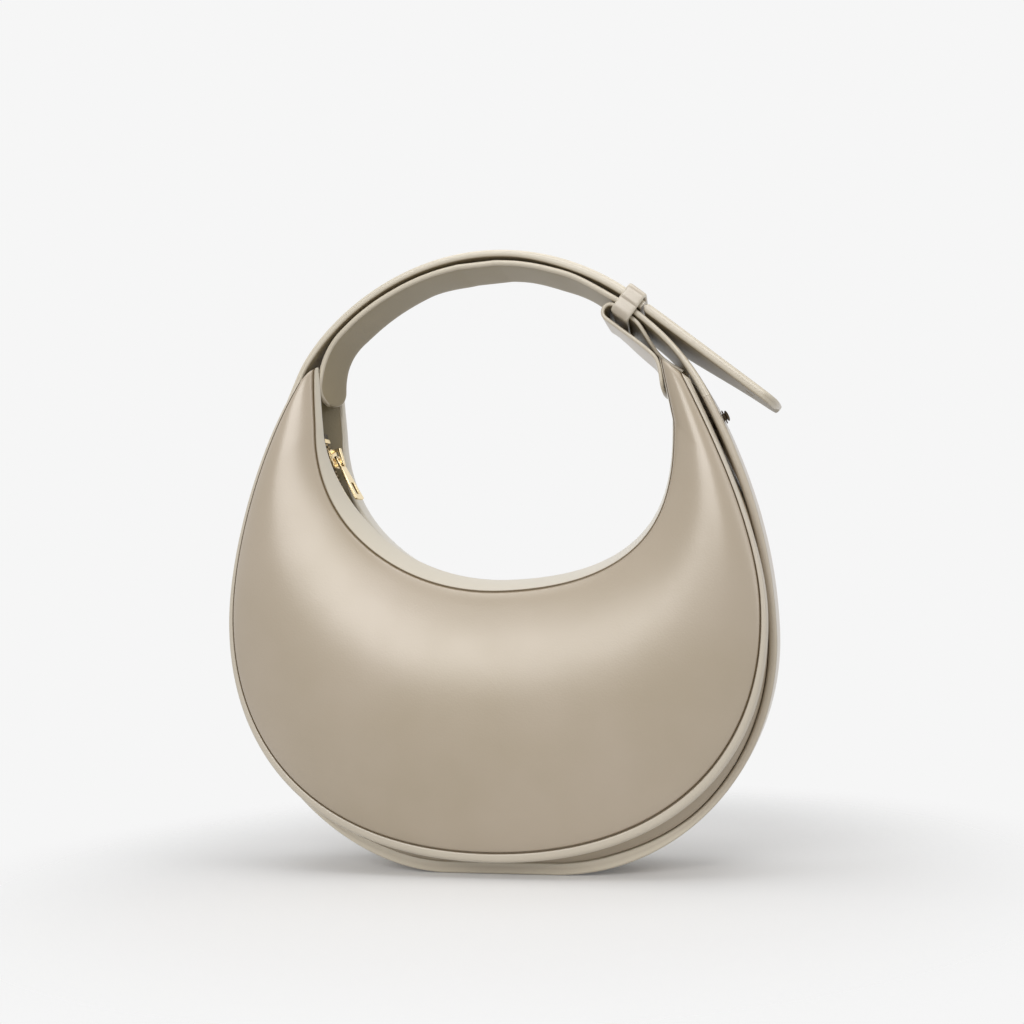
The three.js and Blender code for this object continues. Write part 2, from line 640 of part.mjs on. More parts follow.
function addStud() {
  const profile = [
    [0, -BAND_THICK - GAP],
    [STUD_NECK_RADIUS, -BAND_THICK - GAP],
    [STUD_NECK_RADIUS, GAP],
    [STUD_FLANGE_RADIUS, GAP],
    [STUD_FLANGE_RADIUS, GAP + STUD_FLANGE_THICK],
    [STUD_NECK_RADIUS, GAP + STUD_FLANGE_THICK],
    [STUD_NECK_RADIUS, STUD_HEIGHT - STUD_HEAD_THICK],
    [STUD_HEAD_RADIUS, STUD_HEIGHT - 0.7 * STUD_HEAD_THICK],
    [STUD_HEAD_RADIUS, STUD_HEIGHT - 0.4 * STUD_HEAD_THICK],
    [0.7 * STUD_HEAD_RADIUS, STUD_HEIGHT - 0.1 * STUD_HEAD_THICK],
    [0, STUD_HEIGHT],
  ].map(([r, h]) => new THREE.Vector2(r, h));
  const stud = alongStud(new THREE.LatheGeometry(profile, ROUND_SIDES), 0);
  addMesh("strap_stud", leanBelt(geometryOf(solidOf(stud))), GOLD);
  const head = new THREE.CylinderGeometry(STUD_FLANGE_RADIUS, STUD_FLANGE_RADIUS, SCREW_THICK, ROUND_SIDES);
  addMesh("stud_screw", leanBelt(alongStud(head, -BAND_THICK - 2 * GAP - SCREW_THICK / 2)), GOLD);
}

// Panel outlines: the outer edge runs left horn, bottom, right horn; so does the mouth.
const edgeLine = new THREE.Path();
edgeLine.moveTo(LEFT_HORN.outer.x, LEFT_HORN.outer.z);
edgeLine.bezierCurveTo(
  EDGE_LEFT_BEND.x, EDGE_LEFT_BEND.z,
  EDGE_LEFT_X, EDGE_WIDEST_Z + EDGE_REACH_UP,
  EDGE_LEFT_X, EDGE_WIDEST_Z,
);
edgeLine.bezierCurveTo(
  EDGE_LEFT_X, EDGE_SIDE_BEND_Z,
  -EDGE_BASE_BEND_X, EDGE_BOTTOM_Z,
  0, EDGE_BOTTOM_Z,
);
edgeLine.bezierCurveTo(
  EDGE_BASE_BEND_X, EDGE_BOTTOM_Z,
  EDGE_RIGHT_X, EDGE_SIDE_BEND_Z,
  EDGE_RIGHT_X, EDGE_WIDEST_Z,
);
edgeLine.bezierCurveTo(
  EDGE_RIGHT_X, EDGE_WIDEST_Z + EDGE_REACH_UP,
  EDGE_RIGHT_BEND.x, EDGE_RIGHT_BEND.z,
  RIGHT_HORN.outer.x, RIGHT_HORN.outer.z,
);

const mouthLine = new THREE.Path();
mouthLine.moveTo(LEFT_HORN.mouth.x, LEFT_HORN.mouth.z);
mouthLine.lineTo(MOUTH_LEFT.x, MOUTH_LEFT.z);
mouthLine.bezierCurveTo(
  MOUTH_LEFT.bendX, MOUTH_LEFT.bendZ,
  MOUTH_LOW.bendLeft, MOUTH_LOW.z,
  MOUTH_LOW.x, MOUTH_LOW.z,
);
mouthLine.bezierCurveTo(
  MOUTH_LOW.bendRight, MOUTH_LOW.z,
  MOUTH_RIGHT.bendX, MOUTH_RIGHT.bendZ,
  MOUTH_RIGHT.x, MOUTH_RIGHT.z,
);
mouthLine.lineTo(RIGHT_HORN.mouth.x, RIGHT_HORN.mouth.z);

// One cross line of a crescent, from the outer edge to the mouth, at a share `u` of the way round.
// `side` is -1 in front and 1 behind. The back is a little narrower and its mouth strip is flatter.
function crossLine(u, side = -1) {
  const edge = edgeLine.getPoint(u);
  const round = Math.sin(Math.PI * u);
  const narrowing = ramp(round, BACK_NARROWING.from, BACK_NARROWING.to);
  if (side > 0) edge.x *= THREE.MathUtils.lerp(1, BACK_NARROWING.share, narrowing);
  const mouth = mouthLine.getPoint(u);
  const span = edge.distanceTo(mouth);
  const along = mouth.clone().sub(edge).divideScalar(span);
  const fullness = round ** SEAM_FULLNESS;
  const seam = THREE.MathUtils.lerp(HORN_SEAM_DEPTH, SEAM_DEPTH, fullness);
  const mouthSeam = THREE.MathUtils.lerp(HORN_MOUTH_SEAM_DEPTH, MOUTH_SEAM_DEPTH, fullness);
  const rim = THREE.MathUtils.lerp(HORN_RIM_DEPTH, RIM_DEPTH, ramp(round, RIM_NARROWS.from, RIM_NARROWS.to));
  const mouthSeamAt = span - MOUTH_STRIP_SLOPE.front * (mouthSeam - rim);
  const rimAt = side < 0 ? span : mouthSeamAt + MOUTH_STRIP_SLOPE.back * (mouthSeam - rim);
  const full = span / (MOUTH_LOW.z - EDGE_BOTTOM_Z);
  return {
    span,
    seam,
    mouthSeam,
    mouthSeamAt,
    rim,
    rimAt,
    round,
    edgeBinding: Math.min(EDGE_BINDING, BINDING_SHARE * span),
    at: (q, y) => new THREE.Vector3(edge.x + along.x * q, y, edge.y + along.y * q),
    // Depth of the domed panel at a distance q from its edge: a cubic from the outer seam to the mouth's.
    depth: (q) => {
      const v = THREE.MathUtils.clamp(q / mouthSeamAt, 0, 1);
      const low = seam + LOWER_BULGE * full;
      const high = seam + UPPER_BULGE * full;
      const w = 1 - v;
      return w ** 3 * seam + 3 * w * w * v * low + 3 * w * v * v * high + v ** 3 * mouthSeam;
    },
  };
}

// A skin over part of a crescent. `sink` is its depth under the dome.
function skin({ side, from, to, steps, across, start, end, sink, thick }) {
  return loft(
    evenSteps(from, to, steps).map((u) => {
      const line = crossLine(u, side);
      const places = evenSteps(start(line), end(line), across);
      const face = (extra) => places.map((q) => line.at(q, side * (line.depth(q) - sink - extra)));
      return { outer: face(0), inner: face(thick) };
    }),
  );
}

// A strip along the crescent with a section given as [q, y] pairs.
function strip({ side, from, to, steps, section }) {
  return loft(
    evenSteps(from, to, steps).map((u) => {
      const line = crossLine(u, side);
      const { outer, inner } = section(line);
      const place = ([q, y]) => line.at(q, side * y);
      return { outer: outer.map(place), inner: inner.map(place) };
    }),
  );
}

function edgeSection({ edgeBinding, seam, round }) {
  const top = seam + BINDING_RISE;
  const bottom = top - THREE.MathUtils.lerp(HORN_BINDING_DEPTH, EDGE_BINDING_DEPTH, round);
  const places = [0, BINDING_EASE, edgeBinding - BINDING_EASE, edgeBinding];
  const ease = [BINDING_EASE, 0, 0, BINDING_EASE];
  return {
    outer: places.map((q, i) => [q, top - ease[i]]),
    inner: places.map((q, i) => [q, bottom + ease[i] / 2]),
  };
}

// The strip along the mouth runs in from the panel's upper seam to the rim beside the zip.
function mouthSection({ mouthSeamAt, mouthSeam, rimAt, rim }) {
  const { lerp } = THREE.MathUtils;
  const startY = mouthSeam - Math.min(MOUTH_STRIP_START, 0.6 * (mouthSeam - rim));
  const middle = lerp(mouthSeamAt, rimAt, 0.5);
  return {
    outer: [[mouthSeamAt, mouthSeam], [middle, lerp(mouthSeam, rim, 0.5)], [rimAt, rim]],
    inner: [
      [mouthSeamAt, startY],
      [middle - MOUTH_STRIP_THICK, lerp(startY, rim, 0.5)],
      [rimAt - MOUTH_STRIP_THICK, rim],
    ],
  };
}

// The facing goes down from the rim to the edge of the zip tape.
function facingSection({ span, rimAt, rim }) {
  const top = rimAt - MOUTH_STRIP_THICK - FACING_BELOW_STRIP;
  const bottom = rimAt - Math.min(FACING_DROP, 0.5 * span);
  const topY = rim + FACING_BEHIND_RIM;
  return {
    outer: [[bottom, FACING_Y + FACING_THICK], [top, topY + FACING_THICK]],
    inner: [[bottom, FACING_Y], [top, topY]],
  };
}

function addSide(name, side) {
  addMesh(
    name + "_panel",
    skin({
      side, from: 0, to: 1, steps: 44, across: 7, sink: 0, thick: PANEL_THICK,
      start: (line) => line.edgeBinding + GAP,
      end: (line) => line.mouthSeamAt - GAP,
    }),
    LEATHER,
  );
  addMesh(
    name + "_edge_binding",
    strip({ side, from: 0, to: 1, steps: 44, section: edgeSection }),
    LEATHER_EDGE,
  );
  addMesh(
    name + "_mouth_binding",
    strip({ side, from: 0, to: 1, steps: 44, section: mouthSection }),
    LEATHER_EDGE,
  );
  addMesh(
    name + "_mouth_facing",
    strip({ side, from: 0.05, to: 0.95, steps: 32, section: facingSection }),
    LEATHER_INSIDE,
  );
  addMesh(
    name + "_lining",
    skin({
      side, from: 0.12, to: 0.88, steps: 28, across: 5, sink: PANEL_THICK + LINING_GAP, thick: LINING_THICK,
      start: () => LINING_EDGE,
      end: (line) => line.span - LINING_MOUTH,
    }),
    LINING_CLOTH,
  );
}

// Gusset: the strip between the panels, close under the belt and deeper near the horns.
const gussetDepth = (point) =>
  bandThickAt(point.x) + GAP + GUSSET_HORN_DEPTH * ramp(point.y, GUSSET_DEEPENS.from, GUSSET_DEEPENS.to);

// A strip under the belt, `depth` below the gusset's outer face.
// Along the base its margins rise to meet the panels.
function gussetStrip({ from, to, steps, depth, thick, halfWidth, rise = GUSSET_MARGIN.rise }) {
  const strips = evenSteps(from, to, steps).map((along) => {
    const { point, outward } = walk(ringLine, along);
    const half = halfWidth(THREE.MathUtils.clamp((along - bandStart) / (bandEnd - bandStart), 0, 1));
    const lift = rise * (1 - ramp(point.y, GUSSET_MARGIN.from, GUSSET_MARGIN.to));
    const flat = half - GUSSET_MARGIN.width;
    const row = (sink) =>
      [[-half, lift], [-flat, 0], [flat, 0], [half, lift]].map(([y, up]) => {
        const place = point.clone().addScaledVector(outward, -sink - up);
        return new THREE.Vector3(place.x, y, place.y);
      });
    const top = gussetDepth(point) + depth;
    return { outer: row(top), inner: row(top + thick) };
  });
  return leanBelt(loft(strips));
}

function addGusset() {
  const between = (share) => {
    const { seam, round } = crossLine(share);
    return seam - THREE.MathUtils.lerp(HORN_BINDING_DEPTH, EDGE_BINDING_DEPTH, round) - GAP;
  };
  addMesh(
    "gusset",
    gussetStrip({
      from: bandStart - GUSSET_PAST_BAND.right, to: bandEnd + GUSSET_PAST_BAND.left, steps: 46,
      depth: 0, thick: GUSSET_THICK, halfWidth: between,
    }),
    LEATHER,
  );
  const liningDepth = GUSSET_THICK + GAP;
  addMesh(
    "gusset_lining",
    gussetStrip({
      from: bandStart + GUSSET_LINING_SHORT, to: bandEnd - GUSSET_LINING_SHORT, steps: 36,
      depth: liningDepth, thick: LINING_THICK,
      halfWidth: (share) => between(share) - GUSSET_LINING_INSET,
    }),
    LINING_CLOTH,
  );
  addMesh(
    "base_stiffener",
    gussetStrip({
      from: bandMiddle - STIFFENER.halfLength, to: bandMiddle + STIFFENER.halfLength, steps: 12,
      depth: liningDepth + LINING_THICK + GAP, thick: STIFFENER.thick,
      halfWidth: () => STIFFENER.halfWidth, rise: 0,
    }),
    BOARD,
  );
}

function addPocket() {
  addMesh(
    "inner_pocket",
    skin({
      side: 1, from: POCKET.from, to: POCKET.to, steps: 8, across: 4,
      sink: PANEL_THICK + LINING_THICK + 2 * LINING_GAP, thick: LINING_THICK,
      start: (line) => POCKET.low * line.span,
      end: (line) => POCKET.high * line.span,
    }),
    LINING_CLOTH,
  );
}

// Zip. Places are an angle from straight down, a height above the tape towards the handle, and y.
function zipPoint(angle, height, y) {
  const reach = ZIP_RADIUS - height;
  return new THREE.Vector3(
    ZIP_CENTRE.x + reach * Math.sin(angle * DEG), y, ZIP_CENTRE.z - reach * Math.cos(angle * DEG),
  );
}

function zipStrip({ from, to, steps, low, high, nearY, farY }) {
  return loft(
    evenSteps(from, to, steps).map((angle) => ({
      outer: [nearY, farY].map((y) => zipPoint(angle, high, y)),
      inner: [nearY, farY].map((y) => zipPoint(angle, low, y)),
    })),
  );
}

// A frame on the zip: x along it towards the right end, y as the bag's, z up off the tape.
function onZip(geometry, angle, height) {
  const frame = new THREE.Matrix4().makeRotationY(-angle * DEG);
  const { x, z } = zipPoint(angle, height, 0);
  return geometry.applyMatrix4(frame).translate(x, 0, z);
}

function block(length, width, tall, x, z) {
  return new THREE.BoxGeometry(length, width, tall).translate(x, 0, z);
}

const chainTop = GAP + CHAIN_TALL;

function addZip() {
  for (const [name, side] of [["front", -1], ["back", 1]]) {
    addMesh(
      name + "_zip_tape",
      zipStrip({
        from: TAPE_FROM, to: TAPE_TO, steps: 30, low: -TAPE_THICK, high: 0,
        nearY: side * TAPE_INNER_Y, farY: side * (FACING_Y - GAP),
      }),
      ZIP_CLOTH,
    );
    addMesh(
      name + "_zip_chain",
      zipStrip({
        from: CHAIN_FROM, to: CHAIN_TO, steps: 30, low: GAP, high: chainTop,
        nearY: side * CHAIN_INNER_Y, farY: side * CHAIN_OUTER_Y,
      }),
      GOLD,
    );
  }
  const stopAngle = (STOP_LENGTH / 2 + GAP) / ZIP_RADIUS / DEG;
  const stop = () => block(STOP_LENGTH, 2 * CHAIN_OUTER_Y, CHAIN_TALL, 0, GAP + CHAIN_TALL / 2);
  addMesh("zip_stop_left", onZip(stop(), CHAIN_FROM - stopAngle, 0), GOLD);
  addMesh("zip_stop_right", onZip(stop(), CHAIN_TO + stopAngle, 0), GOLD);
}

const sliderTop = chainTop + SLIDER.clear + SLIDER.plate;
const pivotHeight = sliderTop + SLIDER.bridgeWindow / 2;

function addSlider() {
  const floor = -TAPE_THICK - SLIDER.clear;
  const { length, width, plate, flange, post, bridge, bridgeWindow, bridgeSpan, join: overlap } = SLIDER;
  const bridgeTall = bridgeWindow + post;
  const pieces = [
    block(length, width, plate, 0, sliderTop - plate / 2),
    block(length, width, plate, 0, floor - plate / 2),
    block(length - 2 * post, SLIDER.web, sliderTop - floor, 0, (sliderTop + floor) / 2),
    block(bridgeSpan + 2 * post, bridge, post, 0, sliderTop + bridgeWindow + post / 2),
  ];
  for (const end of [-1, 1]) {
    const rim = block(length, flange.thick, flange.tall, 0, sliderTop - plate - flange.tall / 2 + overlap);
    pieces.push(rim.translate(0, end * (width - flange.thick) / 2, 0));
    const postX = end * (bridgeSpan + post) / 2;
    pieces.push(block(post, bridge, bridgeTall + overlap, postX, sliderTop + (bridgeTall - overlap) / 2));
  }
  addMesh("zip_slider", onZip(join(...pieces), SLIDER_ANGLE, 0), GOLD);
}

// The pull: a tapered plate with a window, and an eye whose bar sits under the slider's bridge.
function addPull() {
  const { length, neck, end, thick, eye, arm, corner, window, join: overlap } = PULL;
  const plate = new THREE.Shape();
  plate.moveTo(eye - overlap, -neck / 2);
  plate.lineTo(length - corner, -end / 2);
  plate.quadraticCurveTo(length, -end / 2, length, -end / 2 + corner);
  plate.lineTo(length, end / 2 - corner);
  plate.quadraticCurveTo(length, end / 2, length - corner, end / 2);
  plate.lineTo(eye - overlap, neck / 2);
  plate.closePath();
  const hole = new THREE.Path();
  hole.moveTo(length - window.from, -window.half);
  hole.lineTo(length - window.to, -window.half);
  hole.lineTo(length - window.to, window.half);
  hole.lineTo(length - window.from, window.half);
  hole.closePath();
  plate.holes.push(hole);
  const sheet = new THREE.ExtrudeGeometry(plate, { ...PLAIN_EXTRUDE, depth: thick });
  sheet.translate(0, 0, -thick / 2);
  const armY = SLIDER.bridge / 2 + GAP;
  const bar = block(thick, 2 * (armY + arm), thick, 0, 0);
  const arms = [-1, 1].map((side) => {
    const rod = block(eye, arm, thick, (eye - thick) / 2, 0);
    return rod.translate(0, side * (armY + arm / 2), 0);
  });
  const pull = join(sheet, bar, ...arms);
  pull.rotateY(-PULL.lift * DEG);
  addMesh("zip_pull", onZip(pull, SLIDER_ANGLE, pivotHeight), GOLD);
}

addSide("front", -1);
addSide("back", 1);
addGusset();
addPocket();
addZip();
addSlider();
addPull();
addBelt();
addTail();
addKeeper();
addLoopTab();
addStud();

export default handbag;
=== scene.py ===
# %% [markdown]
# # A crescent handbag with a ring handle
#
# The bag is a half moon of champagne leather. One belt runs round its whole rim: it carries the bag on the table,
# climbs both sides and closes the ring over the top as the handle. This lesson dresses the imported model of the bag.
# Every piece is drawn again here with the rolls, seams, grain and teeth that a rigid solid leaves out.
# All drawing is in millimetres and turns to metres only when a mesh is made.

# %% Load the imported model
import math

import bpy
import numpy as np
from mathutils import Matrix, Vector


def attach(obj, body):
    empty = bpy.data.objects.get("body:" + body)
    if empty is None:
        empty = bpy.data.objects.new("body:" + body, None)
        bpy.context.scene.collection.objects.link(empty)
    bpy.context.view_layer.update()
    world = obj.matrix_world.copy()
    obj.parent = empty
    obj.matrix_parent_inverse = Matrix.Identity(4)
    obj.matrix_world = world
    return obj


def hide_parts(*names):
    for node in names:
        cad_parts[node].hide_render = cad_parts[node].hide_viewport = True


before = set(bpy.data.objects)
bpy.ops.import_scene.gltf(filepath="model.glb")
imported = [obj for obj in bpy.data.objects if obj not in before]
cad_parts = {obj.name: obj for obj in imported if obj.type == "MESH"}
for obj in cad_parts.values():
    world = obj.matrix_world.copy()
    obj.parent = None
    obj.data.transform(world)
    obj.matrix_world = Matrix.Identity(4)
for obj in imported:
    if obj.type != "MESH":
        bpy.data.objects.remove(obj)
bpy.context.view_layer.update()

# %% [markdown]
# ## The camera
#
# The first job is to stand where the photo was taken. The camera is found from its distance, its turn to the right
# of the bag, its tilt and its roll, and the place of the bag's foot in the picture fixes where it stands. That is
# better than moving it by eye, because each number can be corrected alone.

# %% Camera
FILM_WIDTH, PICTURE_WIDTH, FOCAL_PIXELS = 36, 1024, 1386
CAMERA_DISTANCE = 0.600
CAMERA_TURN, CAMERA_TILT, CAMERA_ROLL = (math.radians(angle) for angle in (17.5, 3.4, 2.3))
FOOT_IN_PICTURE = (510, 868)


def set_camera():
    """Stands the camera so that the bag's foot falls on its place in the picture."""
    turn = (Matrix.Rotation(CAMERA_TURN, 4, "Z") @ Matrix.Rotation(math.pi / 2 + CAMERA_TILT, 4, "X")
            @ Matrix.Rotation(-CAMERA_ROLL, 4, "Z"))
    right, below = ((pixel - PICTURE_WIDTH / 2) / FOCAL_PIXELS * CAMERA_DISTANCE for pixel in FOOT_IN_PICTURE)
    place = turn @ Vector((-right, below, CAMERA_DISTANCE))
    lens = bpy.data.cameras.new("photo_camera")
    lens.sensor_width = FILM_WIDTH
    lens.lens = FILM_WIDTH * FOCAL_PIXELS / PICTURE_WIDTH
    camera = bpy.data.objects.new("photo_camera", lens)
    bpy.context.scene.collection.objects.link(camera)
    camera.matrix_world = Matrix.Translation(place) @ turn
    bpy.context.scene.camera = camera
    return camera


camera = set_camera()
print("camera stands at", [round(1000 * x) for x in camera.location], "mm")

# %% [markdown]
# ## The floor and the light
#
# The bag stands on a pale sheet that runs into a pale room. A large soft box in front, to the left and above, gives
# the long highlight under the opening; a smaller one from the right picks out the rolled edges of the belt, and one
# overhead lights the handle. The room itself fills the shadows. The floor fades out with distance from the bag, so
# that no horizon shows, and it shows the camera part of its paleness as a plain glow, so that the shadow stays soft.

# %% Room and floor
bpy.context.scene.view_settings.view_transform = "Standard"
BACKGROUND, ROOM_FILL = 0.922, 0.45
FLOOR_COLOUR, FLOOR_GLOW = 0.78, 0.085
FLOOR_SOLID, FLOOR_GONE, FLOOR_REACH = 0.14, 0.27, 2.0


def node(tree, kind, inputs=None, **settings):
    """Adds a shader node, sets it, and fills its inputs: a socket is linked and anything else is a value."""
    made = tree.nodes.new("ShaderNode" + kind)
    for name, value in settings.items():
        setattr(made, name, value)
    for name, value in (inputs or {}).items():
        if isinstance(value, bpy.types.NodeSocket):
            tree.links.new(value, made.inputs[name])
        else:
            made.inputs[name].default_value = value
    return made


def maths(tree, operation, a, b):
    return node(tree, "Math", {0: a, 1: b}, operation=operation).outputs[0]


def seen_directly(tree):
    """1 for what the camera sees directly, in a mirror or through glass, and 0 for light that fills shadows."""
    path = node(tree, "LightPath").outputs
    mirrored = maths(tree, "MAXIMUM", path["Is Camera Ray"], path["Is Glossy Ray"])
    return maths(tree, "MAXIMUM", mirrored, path["Is Transmission Ray"])


def make_room():
    world = bpy.data.worlds.new("pale_room")
    world.use_nodes = True
    tree = world.node_tree
    strength = node(tree, "MapRange", {"Value": seen_directly(tree), "To Min": ROOM_FILL, "To Max": BACKGROUND})
    shine = tree.nodes["Background"]
    shine.inputs["Color"].default_value = (1, 1, 1, 1)
    tree.links.new(strength.outputs[0], shine.inputs["Strength"])
    bpy.context.scene.world = world


def make_floor():
    mesh = bpy.data.meshes.new("floor_sheet")
    corners = [(FLOOR_REACH * x, FLOOR_REACH * y, 0) for x, y in ((-1, -1), (1, -1), (1, 1), (-1, 1))]
    mesh.from_pydata(corners, [], [(0, 1, 2, 3)])
    floor = bpy.data.objects.new("floor_sheet", mesh)
    bpy.context.scene.collection.objects.link(floor)
    finish = bpy.data.materials.new("pale_floor")
    finish.use_nodes = True
    tree = finish.node_tree
    tree.nodes.remove(tree.nodes["Principled BSDF"])
    place = node(tree, "TexCoord").outputs["Object"]
    far = node(tree, "VectorMath", {0: place}, operation="LENGTH").outputs["Value"]
    faded = node(tree, "MapRange", {"Value": far, "From Min": FLOOR_SOLID, "From Max": FLOOR_GONE},
                 interpolation_type="SMOOTHSTEP")
    sheet = node(tree, "BsdfDiffuse", {"Color": (FLOOR_COLOUR,) * 3 + (1,)})
    glow = node(tree, "Emission", {"Strength": maths(tree, "MULTIPLY", seen_directly(tree), FLOOR_GLOW)})
    both = node(tree, "AddShader", {0: sheet.outputs[0], 1: glow.outputs[0]})
    clear = node(tree, "BsdfTransparent")
    mixed = node(tree, "MixShader", {0: faded.outputs[0], 1: both.outputs[0], 2: clear.outputs[0]})
    tree.links.new(mixed.outputs[0], tree.nodes["Material Output"].inputs["Surface"])
    mesh.materials.append(finish)


make_room()
make_floor()
print("room fill", ROOM_FILL, "background", BACKGROUND)

# %% Lamps
AIM = Vector((0, 0, 0.13))


def soft_box(name, turn, rise, distance, width, height, brightness):
    """A rectangular soft box, aimed at the bag. turn is to the right of the bag's front, rise above the floor."""
    lamp = bpy.data.lights.new(name, "AREA")
    lamp.shape = "RECTANGLE"
    lamp.size, lamp.size_y = width, height
    lamp.energy = brightness * math.pi * width * height
    box = bpy.data.objects.new(name, lamp)
    bpy.context.scene.collection.objects.link(box)
    turn, rise = math.radians(turn), math.radians(rise)
    away = Vector((math.sin(turn) * math.cos(rise), -math.cos(turn) * math.cos(rise), math.sin(rise)))
    box.location = AIM + away * distance
    box.rotation_euler = away.to_track_quat("Z", "Y").to_euler()


soft_box("front_box", turn=-6, rise=24, distance=1.1, width=0.8, height=0.38, brightness=4.3)
soft_box("right_box", turn=75, rise=20, distance=1.0, width=0.3, height=0.9, brightness=1.4)
soft_box("over_box", turn=10, rise=82, distance=1.1, width=1.2, height=0.9, brightness=1.9)

# %% [markdown]
# ## Leather
#
# The leather is smooth, with a satin pearl coat over a warm tan. Close up it has a very fine grain, and its colour
# drifts a little from place to place. Both are drawn with noise in the object's own space, so the grain has the same
# size on every piece. Each piece also brings a value called edge, which paints light and shade into the colour:
# above 0, on a rolled edge, it mixes in a pale painted highlight, and below 0, in a seam or close under another piece,
# it mixes in a dark painted shade.

# %% Leather
TAN = (0.46, 0.38, 0.285)
TAN_DEEP = (0.405, 0.33, 0.23)
# EDGE_HIGHLIGHT is a painted highlight for rolled edges; SHADE is painted shade for seams and places under other pieces
EDGE_HIGHLIGHT = (0.70, 0.63, 0.50)
SHADE = (0.13, 0.075, 0.012)


def blank_finish(name, **sockets):
    """A material, its tree, its shader and its own space. What is the same all over sits on the shader's sockets."""
    finish = bpy.data.materials.new(name)
    finish.use_nodes = True
    tree = finish.node_tree
    shader = tree.nodes["Principled BSDF"]
    for socket, value in sockets.items():
        shader.inputs[socket.replace("_", " ")].default_value = value
    return finish, tree, shader, node(tree, "TexCoord").outputs["Object"]


def noise(tree, place, scale, detail, distortion=0.0):
    inputs = {"Vector": place, "Scale": scale, "Detail": detail, "Distortion": distortion}
    return node(tree, "TexNoise", inputs).outputs["Fac"]


def mixed_colour(tree, share, first, second):
    """A colour between two, which are sockets or plain colours."""
    first, second = (c + (1,) if isinstance(c, tuple) else c for c in (first, second))
    return node(tree, "MixRGB", {"Fac": share, "Color1": first, "Color2": second}).outputs["Color"]


def uneven(tree, shader, source, low, high):
    """Lets the roughness vary with a texture."""
    spread = node(tree, "MapRange", {"Value": source, "To Min": low, "To Max": high})
    tree.links.new(spread.outputs[0], shader.inputs["Roughness"])


def grain(tree, shader, layers, strength):
    """Small relief from textures: each layer is a texture output and how much it counts."""
    total = None
    for source, weight in layers:
        part = maths(tree, "MULTIPLY", source, weight)
        total = part if total is None else maths(tree, "ADD", total, part)
    relief = node(tree, "Bump", {"Strength": strength, "Distance": 0.0003, "Height": total})
    tree.links.new(relief.outputs[0], shader.inputs["Normal"])


def leather(name, light, deep, edge, roughness, metallic=0.04, grain_strength=0.08, shine=0.85):
    finish, tree, shader, place = blank_finish(name, Metallic=metallic, Specular_IOR_Level=shine, Coat_Weight=0.45,
                                               Coat_Roughness=0.3)
    colour = node(tree, "ValToRGB", {"Fac": noise(tree, place, 16, 3)})
    first, last = colour.color_ramp.elements
    first.position, first.color = 0.3, deep + (1,)
    last.position, last.color = 0.7, light + (1,)
    # The edge value paints light into the colour: a highlight above 0, shade below 0
    painted_light_share = node(tree, "Attribute", attribute_name="edge").outputs["Fac"]
    with_painted_highlight = mixed_colour(tree, painted_light_share, colour.outputs["Color"], edge)
    shaded = mixed_colour(tree, maths(tree, "MULTIPLY", painted_light_share, -1.0), with_painted_highlight, SHADE)
    tree.links.new(shaded, shader.inputs["Base Color"])
    uneven(tree, shader, noise(tree, place, 70, 4), roughness - 0.05, roughness + 0.05)
    cells = node(tree, "TexVoronoi", {"Vector": place, "Scale": 1300}, feature="SMOOTH_F1").outputs["Distance"]
    grain(tree, shader, [(cells, 1.0), (noise(tree, place, 2600, 2), 0.5)], grain_strength)
    return finish


LEATHER = leather("champagne_leather", TAN, TAN_DEEP, EDGE_HIGHLIGHT, roughness=0.32)
print("leather nodes:", len(LEATHER.node_tree.nodes))

# %% [markdown]
# ## The other finishes
#
# The strips round the panels are the same leather, made lighter as a painted highlight. Inside the mouth the leather
# is dull, and its dark olive colour is painted shade. The back of a strap and the gusset under the belt are duller than
# the face, and their darker colour is painted shade. The lining is a twill, whose diagonal ribs come from a wave
# texture, and the zip tape is a dark rib weave. The hardware is pale gold, dark gold on the teeth, and near black on
# the stud, where the dark is painted shade. A metal needs no colour texture, but its roughness has to vary or it
# looks like plastic.

# %% Dull leather, cloth, metal and board
DULL = {"metallic": 0.0, "grain_strength": 0.2}
# A lighter copy of the leather: a painted highlight on the strips and the keeper
PAINTED_HIGHLIGHT_LEATHER = leather("edge_leather", (0.55, 0.48, 0.38), (0.50, 0.43, 0.335), (0.72, 0.66, 0.54), 0.34)
# Darker copies of the leather: painted shade inside the mouth, on the backs of straps and on the gusset
PAINTED_SHADE_INSIDE_LEATHER = leather("inside_leather", (0.26, 0.215, 0.125), (0.21, 0.17, 0.095), (0.36, 0.30, 0.20), 0.55,
                         shine=0.25, **DULL)
PAINTED_SHADE_BACK_LEATHER = leather("back_leather", (0.33, 0.27, 0.165), (0.29, 0.235, 0.14), (0.40, 0.33, 0.22), 0.6,
                       shine=0.2, **DULL)
PAINTED_SHADE_GUSSET_LEATHER = leather("gusset_leather", (0.42, 0.35, 0.26), (0.38, 0.315, 0.23), (0.50, 0.43, 0.33), 0.5,
                         metallic=0.0, grain_strength=0.15, shine=0.4)


